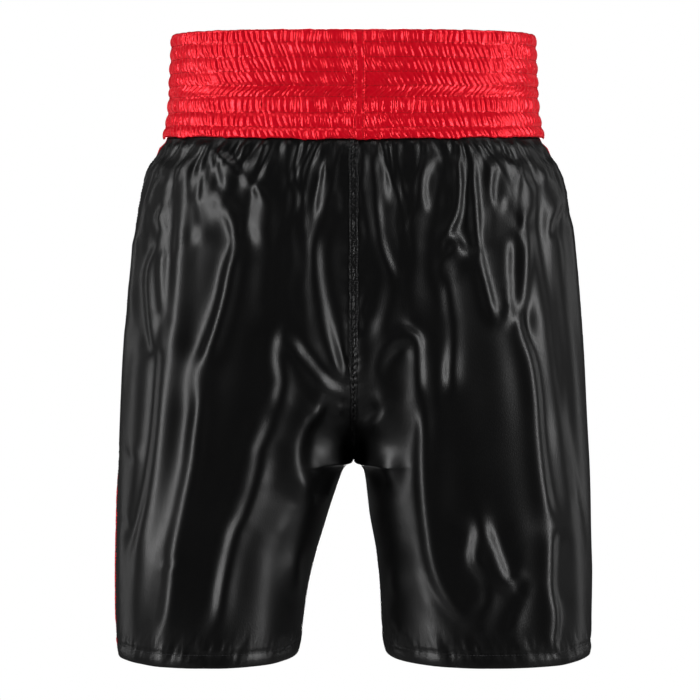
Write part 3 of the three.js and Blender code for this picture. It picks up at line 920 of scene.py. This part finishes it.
def gather_heights(grid, seed):
    """Pinches that start under the band and fade out downwards."""
    s = arc_lengths(grid, 1)[16]
    below = BAND_FOOT - grid[..., 2]
    rng = np.random.default_rng(seed)
    height = np.zeros(grid.shape[:2])
    at = 6.0
    while at < s[-1]:
        reach = rng.uniform(7, 30) if rng.random() < 0.7 else rng.uniform(30, 60)
        width = rng.uniform(1.8, 4.2)
        lean = rng.uniform(-0.3, 0.3)
        drop = width * rng.uniform(0.45, 0.8)
        fade = smooth(below, 0.0, 6) * np.exp(-np.clip(below - 3, 0, 400) / reach)
        gap = s[None, :] - at - lean * np.clip(below, 0, 90) - 1.5 * np.sin(below / 9.0 + at)
        height -= drop * fade * bell(gap, width)
        height += 0.5 * drop * fade * bell(gap - 2.0 * width, 1.3 * width)
        at += rng.uniform(6, 15)
    return height


def laid_cloth(settings, mirrored):
    """One half of the cloth in place, with its folds."""
    grid = cloth_grid(mirrored)
    if mirrored:
        grid = grid * np.array([-1.0, 1.0, 1.0])
    share = np.arange(COLUMNS + 1) / COLUMNS
    deep = smooth(-grid[..., 2], 150, 250) * smooth(grid[..., 2], HEM_Z + 10, HEM_Z + 60)
    soft = eased(grid, grid[:, 0, 2], 20.0, 0.5)
    for axis, start, stop in ((0, 0.03, 0.16), (1, 0.003, 0.04)):
        inward = smooth(np.minimum(share, 1 - share), start, stop)[None, :]
        grid[..., axis] += (soft - grid)[..., axis] * deep * inward
    normal = outer_normals(grid)
    to_back, to_front = smooth(-share, -0.5, -0.38), smooth(share, 0.5, 0.62)
    seed = settings.seed + (50 if mirrored else 0)
    height = to_back * fold_heights(grid, 1, settings, seed)
    height += to_front * fold_heights(grid, -1, settings, seed + 9)
    s = arc_lengths(grid, 1)
    s -= s[:, COLUMNS // 2][:, None]
    sides = bell(share - 0.52, 0.06)
    z = grid[..., 2]
    height += sides * (2.4 * np.sin(s / 13.0 + 0.6 * wander(z / 90, seed + 5)) * smooth(-z, 60, 160))
    rolled = 1.2 * bell(share - 0.43, 0.022) - 1.2 * bell(share - 0.5, 0.03)
    height += rolled * smooth(-z, 60, 90)
    if not mirrored:
        height += 2.6 * bell(share - 0.48, 0.02) * smooth(-z, 350, 390) * smooth(z, -535, -505)
    middle = np.minimum(share, 1 - share) * COLUMNS
    calm = smooth(middle, 0, 5)[None, :]
    below = smooth(-z, -CROTCH_Z - 50, -CROTCH_Z)
    keep = 0.15 + 0.85 * (calm * (1 - below) + smooth(middle, 0, 16)[None, :] * below)
    tucked = smooth(-grid[..., 2], -BAND_FOOT - 1, -BAND_FOOT + 7)
    crotch = 1 - 0.7 * np.exp(-((np.abs(grid[..., 0]) / 14) ** 2) - ((z - CROTCH_Z) / 30) ** 2)
    height *= keep * tucked * crotch
    shaped = grid + normal * height[..., None]
    at_hem, at_crotch = (7.0, 3.5) if mirrored else (9.0, 3.0)
    pull = at_hem * smooth(-z, -CROTCH_Z, -HEM_Z) + at_crotch * smooth(-z, -CROTCH_Z, -CROTCH_Z + 60)
    inner = np.clip((200 - np.abs(grid[..., 0])) / 160, 0, 1) * (z < CROTCH_Z)
    shaped[..., 0] += pull * inner
    return shaped


def joined_cloth(left, right):
    """Both halves as one sheet, shared along the middle and, below the crotch, each inseam."""
    rows, columns = left.shape[:2]
    index = {}
    points = []

    def at(side, r, c):
        if r < UPPER_ROWS and c in (0, columns - 1):
            key = ("middle", r, c)
        elif r >= UPPER_ROWS and c == columns - 1:
            key = (side, r, 0)
        else:
            key = (side, r, c)
        if key not in index:
            index[key] = len(points)
            grid = left if side == 0 else right
            points.append(grid[r, c])
        return index[key]

    ids = np.array([[[at(side, r, c) for c in range(columns)] for r in range(rows)] for side in (0, 1)])
    faces = []
    for side in (0, 1):
        a = ids[side]
        f = np.stack([a[:-1, :-1], a[1:, :-1], a[1:, 1:], a[:-1, 1:]], -1).reshape(-1, 4)
        faces.append(f if side else f[:, ::-1])
    last = UPPER_ROWS - 1
    gusset = [ids[0, last, 0], ids[0, last + 1, 0], ids[0, last, columns - 1], ids[1, last + 1, 0]]
    return np.array(points), np.concatenate(faces).tolist() + [gusset], ids


def blurred(field, rows, columns):
    """A grid's field softened by so many rows and columns."""
    for axis, width in ((0, rows), (1, columns)):
        reach = int(3 * width) + 1
        kernel = np.exp(-((np.arange(-reach, reach + 1) / width) ** 2) / 2)
        kernel /= kernel.sum()
        pad = [(reach, reach) if k == axis else (0, 0) for k in range(field.ndim)]
        wide = np.pad(field, pad, mode="edge")
        size = field.shape[axis]
        field = sum(
            w * np.take(wide, np.arange(k, k + size), axis=axis) for k, w in enumerate(kernel)
        )
    return field


def eased(field, z, reach, columns):
    """A grid's field softened over so many millimetres of height and so many columns."""
    spacing = np.abs(np.gradient(z))
    weight = np.exp(-(((z[:, None] - z[None, :]) / reach) ** 2) / 2) * spacing[None, :]
    weight /= weight.sum(1, keepdims=True)
    return np.tensordot(weight, blurred(field, 0.01, columns), axes=1)


def softened(grid, settled, settled_share):
    """The broad part of the settling, out of or into the cloth, without its crumples."""
    z = grid[:, 3, 2]
    n = outer_normals(grid, eased(grid, z, 14.0, 2.0))
    out = np.einsum("ijk,ijk->ij", settled - grid, n)
    out = settled_share * eased(out, z, 20.0, 2.2)
    share = np.arange(grid.shape[1]) / (grid.shape[1] - 1)
    middle = smooth(np.minimum(share, 1 - share), 0, 0.12)
    out *= smooth(-grid[..., 2], -BAND_FOOT, -BAND_FOOT + 14) * middle[None, :]
    return grid + n * out[..., None]


def relaxed(left, right, settings):
    """Lets the laid cloth settle: it is too big for its place, so it buckles into folds."""
    points, faces, ids = joined_cloth(left, right)
    obj = link("cloth_rest", points, faces)
    held = obj.vertex_groups.new(name="held")
    z = points[:, 2]
    hold = np.where(z > BAND_FOOT - 2, 1.0, settings.hold)
    for weight in np.unique(hold):
        held.add(np.nonzero(hold == weight)[0].tolist(), float(weight), "REPLACE")
    cloth = obj.modifiers.new("Cloth", "CLOTH")
    c = cloth.settings
    c.quality = 6
    c.mass = 0.15
    c.tension_stiffness = c.compression_stiffness = 14
    c.shear_stiffness = 6
    c.bending_stiffness = 0.5
    c.air_damping = 1.5
    c.vertex_group_mass = "held"
    c.pin_stiffness = 1.0
    c.shrink_min = -settings.fullness
    c.effector_weights.gravity = 0.5
    cloth.collision_settings.use_collision = False
    cloth.collision_settings.use_self_collision = False
    cloth.point_cache.frame_start = 1
    cloth.point_cache.frame_end = settings.settle_frames
    scene = bpy.context.scene
    for step in range(1, settings.settle_frames + 1):
        scene.frame_set(step)
    graph = bpy.context.evaluated_depsgraph_get()
    settled = obj.evaluated_get(graph).to_mesh()
    co = np.zeros(len(points) * 3)
    settled.vertices.foreach_get("co", co)
    co = co.reshape(-1, 3) * 1000
    moved = co - points
    size = np.linalg.norm(moved, axis=1, keepdims=True)
    cap = settings.move_cap * 1000
    moved *= np.minimum(1, cap / np.maximum(size, 1e-9))
    bpy.data.objects.remove(obj)
    scene.frame_set(1)
    co = points + moved
    share = settings.settle_share
    return softened(left, co[ids[0]], share), softened(right, co[ids[1]], share)


CLOTH = {}


def with_creases(grid, settings, side):
    """Adds the sharp creases, which need finer cloth than the settling does."""
    run = grid[:, 3, 2]
    n = outer_normals(grid, eased(grid, run, 4.0, 1.2))
    columns = grid.shape[1]
    share = np.arange(columns) / (columns - 1)
    back, front = smooth(-share, -0.5, -0.42), smooth(share, 0.5, 0.58)
    seed = settings.seed + (200 if side == "left" else 300)
    height = back * crease_heights(grid, n, 1, seed) + front * crease_heights(grid, n, -1, seed + 1)
    z = grid[..., 2]
    tucked = smooth(-z, -BAND_FOOT + 1, -BAND_FOOT + 7)
    from_edge = np.minimum(share, 1 - share)[None, :] * columns
    below = smooth(-z, -CROTCH_Z - 50, -CROTCH_Z)
    middle = smooth(from_edge, 0, 5) * (1 - below) + smooth(from_edge, 0, 26) * below
    height = eased(height, run, 2.4, 1.1) * settings.crease_scale
    height += gather_heights(grid, seed + 3) * settings.gather_scale
    return grid + n * (height * tucked * middle)[..., None]


def sew_marks(grid, row_run, seams):
    """Sinks the cloth along sewn edges and the hem's stitch line, and puckers it there."""
    n = outer_normals(grid)
    s = arc_lengths(grid, 1)
    run = row_run[:, None]
    height = np.zeros(grid.shape[:2])
    for column, seed in seams:
        gap = np.abs(s - s[:, column][:, None])
        ripple = wander(run / 5.2 + 0.4 * np.sin(run / 31.0), seed, 2, 6.0)
        drawn = wander(run / 4.0 + s / 9.0, seed + 40, 3, 1.3)
        calm = 1 - 0.85 * smooth(run, -CROTCH_Z - 45, -CROTCH_Z - 5) if column in (0, -1) else 0.5
        height -= 0.9 * calm * bell(gap, 1.6)
        height += (
            calm * (0.35 * ripple + 0.9 * drawn)
            * bell(gap, 7.0) * (1 - bell(gap, 2.2))
        )
    up = (grid[..., 2] - grid[-1:, :, 2])
    ripple = wander(s / 4.6, 77, 2, 4.0)
    height -= 0.9 * bell(up - HEM_DEEP, 1.4)
    drawn = wander(s / 5.5 + up / 16.0, 79, 3, 1.4) * (0.55 + 0.45 * wander(s / 45.0, 80))
    height += (0.35 * ripple + 1.0 * drawn) * bell(up - HEM_DEEP - 3, 12.0)
    height += 0.7 * bell(up - HEM_DEEP * 0.5, 4.0)
    return grid + n * height[..., None], n


def weld(left, right):
    """Brings sewn edges together: the halves' middles above the crotch, each leg's inseam below it."""
    top = 2 * UPPER_ROWS - 1
    pairs = [(left[:top], right[:top], 0, 0), (left[:top], right[:top], -1, -1)]
    pairs += [(grid[top:], grid[top:], 0, -1) for grid in (left, right)]
    for one, other, a, b in pairs:
        middle = (one[:, a] + other[:, b]) / 2
        for grid, end in ((one, a), (other, b)):
            shift = middle - grid[:, end]
            for k, share in enumerate((1.0, 0.7, 0.4, 0.2, 0.07)):
                grid[:, k if end == 0 else -1 - k] += shift * share


def with_hem(grid, normal):
    """Adds the folded inner layer of the hem under the last row."""
    edge, n = grid[-1], normal[-1]
    up = np.array([0, 0, 1.0])
    turns = ((-0.35, -0.5), (-1, -0.6), (-1.5, 0), (-1.6, 2), (-1.6, 5), (-1.6, 8.5), (-1.5, HEM_DEEP))
    rows = [edge + n * inset + up * rise for inset, rise in turns]
    return np.concatenate([grid, np.array(rows)])


# ---------------------------------------------------------------- settings
class ShortsSettings(bpy.types.PropertyGroup):
    seed: IntProperty(name="Seed", description="Picks the pleats and small folds", default=11, min=0)
    red: FloatVectorProperty(
        name="Red", description="Waistband and stripe colour", subtype="COLOR",
        size=3, default=(0.97, 0.0015, 0.017), min=0, max=1,
    )
    black: FloatVectorProperty(
        name="Black", description="Body colour", subtype="COLOR",
        size=3, default=(0.0010, 0.0010, 0.0011), min=0, max=1,
    )
    pleat_pitch: FloatProperty(
        name="Pleat Pitch", description="Distance between band pleats, mm", default=5.6, min=2,
    )
    pleat_depth: FloatProperty(
        name="Pleat Depth", description="Depth of a band pleat, mm", default=2.2, min=0,
    )
    band_columns: IntProperty(name="Band Columns", description="Points round the band", default=960)
    row_steps: IntProperty(name="Row Steps", description="Points up each band row", default=9)
    fold_scale: FloatProperty(name="Fold Height", description="Scale of the laid folds", default=0.6)
    crease_scale: FloatProperty(name="Creases", description="Scale of the sharp creases", default=1.0)
    gather_scale: FloatProperty(name="Gathers", description="Scale of pinches at the band", default=1.0)
    fullness: FloatProperty(
        name="Fullness", description="How much too big the cloth is", default=0.055,
        min=0, max=0.5, subtype="FACTOR",
    )
    hold: FloatProperty(
        name="Hold", description="How firmly the laid folds are kept", default=0.10, min=0, max=1,
    )
    move_cap: FloatProperty(
        name="Most Movement", description="The furthest a point may settle", default=0.014,
        unit="LENGTH",
    )
    settle_share: FloatProperty(
        name="Settled Share", description="How much of the settling is kept", default=0.6,
        min=0, max=1, subtype="FACTOR",
    )
    settle_frames: IntProperty(name="Settling Steps", description="Frames of settling", default=22)
    stitch_pitch: FloatProperty(
        name="Stitch Pitch", description="Length of one stitch", default=0.0030, unit="LENGTH",
    )
    thread_radius: FloatProperty(
        name="Thread Radius", description="Half the thread's thickness", default=0.00028,
        unit="LENGTH",
    )


# ---------------------------------------------------------------- operators
class SHORTS_OT_materials(bpy.types.Operator):
    """Make the satin, thread, elastic and label finishes"""

    bl_idname = "shorts.materials"
    bl_label = "Finishes"

    def execute(self, context):
        make_materials(context.scene.shorts)
        for name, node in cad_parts.items():
            if name.startswith("elastic_row"):
                node.data.materials.clear()
                node.data.materials.append(MATERIALS["elastic"])
        return {"FINISHED"}


class SHORTS_OT_waistband(bpy.types.Operator):
    """Shirr the red casing round its eight elastic rows"""

    bl_idname = "shorts.waistband"
    bl_label = "Waistband"

    def execute(self, context):
        settings = context.scene.shorts
        grid, marks = waistband_grid(settings)
        rows, columns = grid.shape[:2]
        faces = quads(rows, columns, True)
        close = quads(2, columns, True)
        close = np.where(close >= columns, close - columns, close + (rows - 1) * columns)
        s = np.arange(columns) * 900.0 / columns
        run = np.cumsum(np.concatenate([[0], np.linalg.norm(np.diff(grid[:, 0], axis=0), axis=1)]))
        uv = np.stack(np.meshgrid(s, run), -1).reshape(-1, 2)
        obj = link("waistband_satin", grid.reshape(-1, 3), np.concatenate([faces, close]).tolist(), uv)
        outward(obj, 1)
        finish_piece(obj, "red_satin", ["waistband_casing"])
        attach(obj, "waist")
        CLOTH["band"] = (grid, marks)
        CLOTH["band_object"] = obj
        lines = []
        for r in range(1, len(ROW_Z) - 1):
            row = np.array(marks)
            first = int(np.nonzero(row == r)[0][-1])
            line = (grid[first] + grid[first + 1]) / 2
            centre = line * np.array([0, 0, 1.0])
            out = line - centre
            out /= np.linalg.norm(out, axis=1, keepdims=True)
            lines.append((line + out * 0.25, True))
        made = stitches(
            "waistband_stitches", lines, "red_thread", settings, 0.0034, 0.00032,
            [f"waistband_stitch_{k}" for k in range(1, 8)],
        )
        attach(made, "waist")
        return {"FINISHED"}


class SHORTS_OT_join(bpy.types.Operator):
    """Lap the ends of the waistband at the back"""

    bl_idname = "shorts.join"
    bl_label = "Waistband Join"

    def execute(self, context):
        settings = context.scene.shorts
        grid, marks = CLOTH["band"]
        centre, half = -5.2, 5.3
        part = outer_band_at(grid, marks, centre - half - 6, centre + half + 6)
        xs = np.linspace(-half, half, 13)
        rows = []
        heights = np.arange(len(part))
        for k in heights:
            ring = part[k]
            order = np.argsort(ring[:, 0])
            x = centre + xs + 0.35 * math.sin(k / 9.0)
            y = np.interp(x, ring[order, 0], ring[order, 1])
            z = np.interp(x, ring[order, 0], ring[order, 2])
            y = 0.35 * y + 0.65 * y.max()
            crown = 0.55 * (1 - (xs / half) ** 6) + 0.25 * np.cos(xs / half * math.pi * 1.0)
            groove = 0.45 * bell(np.abs(xs) - 3.9, 0.7)
            pucker = 0.22 * math.sin(k / 1.55) * bell(np.abs(xs) - 3.9, 1.8)
            rows.append(np.column_stack([x, y + 0.55 + crown - groove + pucker, z]))
        strip = np.array(rows)
        obj = shell("waistband_lap", strip, 0.5)
        finish_piece(obj, "red_satin", ["waistband_join"])
        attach(obj, "waist")
        CLOTH["lap_object"] = obj
        lines = [(strip[1:-1, c] + np.array([0, 0.12, 0]), False) for c in (2, 10)]
        made = stitches("waistband_lap_stitches", lines, "red_thread", settings)
        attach(made, "waist")
        return {"FINISHED"}


class SHORTS_OT_cloth(bpy.types.Operator):
    """Lay, settle and sew the black panels and the red side stripes"""

    bl_idname = "shorts.cloth"
    bl_label = "Panels and Stripes"

    def execute(self, context):
        settings = context.scene.shorts
        left, right = laid_cloth(settings, False), laid_cloth(settings, True)
        for end in (0, -1):
            middle = (left[:UPPER_ROWS, end] + right[:UPPER_ROWS, end]) / 2
            left[:UPPER_ROWS, end] = right[:UPPER_ROWS, end] = middle
        for half in (left, right):
            inseam = (half[UPPER_ROWS:, 0] + half[UPPER_ROWS:, -1]) / 2
            half[UPPER_ROWS:, 0] = half[UPPER_ROWS:, -1] = inseam
        left, right = relaxed(left, right, settings)
        panel, stripe = 2 * PANEL_COLUMNS, 2 * STRIPE_COLUMNS
        for side, half in (("left", left), ("right", right)):
            grid = with_creases(finer(finer(half, 0), 1), settings, side)
            run = -grid[:, 0, 2]
            CLOTH[side] = sew_marks(grid, run, [(panel, 1), (panel + stripe, 2), (0, 3), (-1, 4)])
        weld(CLOTH["left"][0], CLOTH["right"][0])
        for side in ("left", "right"):
            sewn, normal = CLOTH[side]
            spans = {
                f"back_panel_{side}": (0, panel, "black_satin"),
                f"side_stripe_{side}": (panel, panel + stripe, "red_satin"),
                f"front_panel_{side}": (panel + stripe, 2 * panel + stripe, "black_satin"),
            }
            for name, (first, last, slot) in spans.items():
                part = with_hem(sewn[:, first : last + 1], normal[:, first : last + 1])
                run = arc_lengths(part, 1)
                run -= run[:, -1:] if first == 0 else 0.0
                obj = shell(name, part, uv=np.stack([run, arc_lengths(part, 0)], -1))
                finish_piece(obj, slot, [name + "_upper", name + "_lower"])
                on_leg(obj, side)
                CLOTH[name] = obj
        return {"FINISHED"}


class SHORTS_OT_seams(bpy.types.Operator):
    """Sew the felled rise seams, the side seams and the hems"""

    bl_idname = "shorts.seams"
    bl_label = "Seams and Hems"

    def execute(self, context):
        settings = context.scene.shorts
        left, normal_l = CLOTH["left"]
        right, normal_r = CLOTH["right"]
        rows = 2 * UPPER_ROWS - 1
        for name, column, inward in (("back_rise", 0, 1), ("front_rise", -1, -1)):
            xs = np.array([-4.2, -3.7, -3.1, -2.2, -1.1, 0.0, 1.1, 2.2, 3.1, 3.7, 4.2])
            strip, normals = [], []
            for r in range(1, rows - 6):
                ends = []
                for grid in (left, right):
                    line = np.array([grid[r, column + inward * k] for k in range(5)])
                    step = np.linalg.norm(np.diff(line, axis=0), axis=1)
                    ends.append((np.concatenate([[0], np.cumsum(step)]), line))
                row = []
                for x in xs:
                    run, line = ends[0] if x >= 0 else ends[1]
                    row.append([np.interp(abs(x), run, line[:, k]) for k in range(3)])
                strip.append(row)
            strip = np.array(strip)
            strip = finer(strip, 0)
            strip[..., 0] += 0.35 * wander(strip[..., 2] / 9.0, 5)
            n = grid_normals(strip)
            facing = np.sign(strip[10, 5, 1])
            n *= np.sign(n[10, 5, 1]) * facing
            for _ in range(2):
                n[1:-1] = (n[:-2] + n[1:-1] + n[2:]) / 3
            n /= np.linalg.norm(n, axis=2, keepdims=True)
            z = strip[..., 2]
            rope = np.sin(z / 0.85 + 1.6 * wander(z / 9.0, 8) + xs[None, :] * 0.5)
            rope = rope * (0.6 + 0.4 * wander(z / 6.0, 9))
            inside = np.clip(1 - (np.abs(xs) / 3.3) ** 4, 0, 1)[None, :]
            groove = bell(np.abs(xs) - 3.15, 0.55)[None, :]
            height = 0.7 + 0.5 * inside + 0.9 * rope * inside - 0.5 * groove
            strip = strip + n * height[..., None]
            lowest = CROTCH_Z + 14
            keep = strip[:, 5, 2] > lowest
            strip, n = strip[keep], n[keep]
            obj = shell(name + "_fell", strip, 0.45)
            finish_piece(obj, "black_satin", [name + "_seam"])
            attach(obj, "waist")
            CLOTH[name] = obj
            lines = [(strip[2:-2, c] + n[2:-2, c] * 0.2, False) for c in (2, 8)]
            made = stitches(name + "_stitches", lines, "black_thread", settings, 0.0027)
            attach(made, "waist")
        x, y = np.meshgrid(np.linspace(-4.2, 4.2, 11), np.linspace(-6.0, 6.0, 13))
        tack = np.stack([x, y, CROTCH_Z + 0.9 - 0.09 * x * x - 0.02 * y * y], -1)
        tack = shell("crotch_tack", tack, 0.9)
        finish_piece(tack, "black_satin")
        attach(tack, "waist")
        panel, stripe = 2 * PANEL_COLUMNS, 2 * STRIPE_COLUMNS
        for side, (grid, normal) in (("left", (left, normal_l)), ("right", (right, normal_r))):
            rows_down = slice(8, grid.shape[0] - 1)
            lines = []
            for column in (panel - 1, panel + stripe + 1):
                lines.append((grid[rows_down, column] + normal[rows_down, column] * 0.15, False))
            made = stitches(f"side_seam_stitches_{side}", lines, "black_thread", settings)
            on_leg(made, side)
            up = grid[..., 2] - grid[-1:, :, 2]
            hem = []
            for c in range(grid.shape[1]):
                rise, place = up[-16:, c], grid[-16:, c]
                order = np.argsort(rise)
                at = [np.interp(HEM_DEEP, rise[order], place[order, k]) for k in range(3)]
                hem.append(np.array(at) + normal[-8, c] * 0.2)
            made = stitches(
                f"hem_stitches_{side}", [(np.array(hem[:-1]), True)], "black_thread", settings,
                nodes=[f"hem_stitch_{side}"],
            )
            on_leg(made, side)
        return {"FINISHED"}


class SHORTS_OT_label(bpy.types.Operator):
    """Hang the blank care label inside the back of the waistband"""

    bl_idname = "shorts.label"
    bl_label = "Care Label"

    def execute(self, context):
        low, high = (np.array(c) * 1000 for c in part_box("care_label"))
        xs = np.linspace(low[0], high[0], 21)
        zs = np.linspace(high[2], low[2], 25)
        grid = []
        for z in zs:
            down = (high[2] - z) / (high[2] - low[2])
            y = high[1] - 0.6 - 1.6 * ((xs - low[0]) / (high[0] - low[0])) ** 2
            y -= 2.2 * down**2 + 0.5 * np.sin(xs / 7.0) * down
            grid.append(np.column_stack([xs, y, np.full_like(xs, z)]))
        grid = np.array(grid)
        obj = shell("care_label_woven", grid, 0.35)
        finish_piece(obj, "label", ["care_label"])
        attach(obj, "waist")
        CLOTH["label"] = obj
        return {"FINISHED"}


class SHORTS_OT_declare(bpy.types.Operator):
    """Does nothing: no cloth sizes are stated"""

    bl_idname = "shorts.declare"
    bl_label = "Cloth Sizes"

    def execute(self, context):
        return {"FINISHED"}


def softbox(name, azimuth, height, distance, size, power, aim_z=-0.25):
    light = bpy.data.lights.new(name, "AREA")
    light.shape = "RECTANGLE"
    light.size, light.size_y = size
    light.energy = power
    obj = bpy.data.objects.new(name, light)
    angle = math.radians(azimuth)
    place = Vector((math.cos(angle) * distance, math.sin(angle) * distance, height))
    obj.location = place
    obj.rotation_euler = (Vector((0, 0, aim_z)) - place).to_track_quat("-Z", "Y").to_euler()
    bpy.context.scene.collection.objects.link(obj)
    return obj


def by_ray(nodes, others, camera):
    """One shader for what the camera sees and another for every other ray."""
    seen = nodes.add("ShaderNodeLightPath", None, None, "Is Camera Ray")
    shader = nodes.add("ShaderNodeMixShader", None, {"Fac": seen})
    for socket, value in zip(shader.socket.node.inputs[1:], (others, camera)):
        nodes.put(socket, value)
    return shader


def pale_floor():
    """White where the camera looks at it, and a quiet grey to everything else."""
    material, nodes = new_material("pale_floor")
    bright = nodes.add("ShaderNodeEmission", None, {"Color": (1, 1, 1, 1), "Strength": 1.0})
    dull = nodes.add("ShaderNodeBsdfDiffuse", None, {"Color": (0.35, 0.35, 0.35, 1)})
    nodes.add("ShaderNodeOutputMaterial", None, {"Surface": by_ray(nodes, dull, bright)})
    return material


class SHORTS_OT_stage(bpy.types.Operator):
    """Set the pale floor, the soft studio lights and the camera"""

    bl_idname = "shorts.stage"
    bl_label = "Stage"

    def execute(self, context):
        scene = context.scene
        signs = ((-1, -1), (1, -1), (1, 1), (-1, 1))
        corners = [(x * FLOOR_HALF, y * FLOOR_HALF, FLOOR_Z) for x, y in signs]
        floor = link("floor", corners, [(0, 1, 2, 3)], smooth_shade=False)
        floor.data.materials.append(pale_floor())
        for azimuth, power in SIDE_LIGHTS:
            softbox(f"softbox_{azimuth}", azimuth, 0.1, 2.3, (0.26, 2.4), power, 0.1)
        softbox("softbox_top", 90, 2.4, 0.9, (1.4, 0.5), 9)
        world = bpy.data.worlds.new("studio")
        scene.world = world
        world.use_nodes = True
        nodes = Nodes(world.node_tree)
        shade, white = (
            nodes.add("ShaderNodeBackground", None, {"Color": (1, 1, 1, 1), "Strength": strength})
            for strength in (0.05, 1.0)
        )
        nodes.add("ShaderNodeOutputWorld", None, {"Surface": by_ray(nodes, shade, white)})
        scene.view_settings.view_transform = "Standard"
        data = bpy.data.cameras.new("camera")
        data.lens = LENS
        data.sensor_width = 36.0
        camera = bpy.data.objects.new("camera", data)
        camera.location = Vector(CAMERA_AT) * 0.001
        aim = Vector((CAMERA_AT[0], 0.0, CAMERA_AIM_Z)) * 0.001 - camera.location
        camera.rotation_euler = aim.to_track_quat("-Z", "Y").to_euler()
        scene.collection.objects.link(camera)
        scene.camera = camera
        return {"FINISHED"}


class SHORTS_PT_panel(bpy.types.Panel):
    """Lists the steps that build the shorts"""

    bl_idname = "SHORTS_PT_panel"
    bl_label = "Boxing Shorts"
    bl_space_type = "VIEW_3D"
    bl_region_type = "UI"
    bl_category = "Shorts"

    def draw(self, context):
        for step in STEPS:
            self.layout.operator(step.bl_idname)
        for name in ShortsSettings.__annotations__:
            self.layout.prop(context.scene.shorts, name)


STEPS = (
    SHORTS_OT_materials,
    SHORTS_OT_waistband,
    SHORTS_OT_join,
    SHORTS_OT_cloth,
    SHORTS_OT_seams,
    SHORTS_OT_label,
    SHORTS_OT_declare,
    SHORTS_OT_stage,
)
CLASSES = (ShortsSettings, *STEPS, SHORTS_PT_panel)


def register():
    for cls in CLASSES:
        bpy.utils.register_class(cls)
    bpy.types.Scene.shorts = PointerProperty(type=ShortsSettings)


def unregister():
    del bpy.types.Scene.shorts
    for cls in reversed(CLASSES):
        bpy.utils.unregister_class(cls)


def main():
    register()
    for step in STEPS:
        group, name = step.bl_idname.split(".")
        getattr(getattr(bpy.ops, group), name)()


if __name__ == "__main__":
    main()
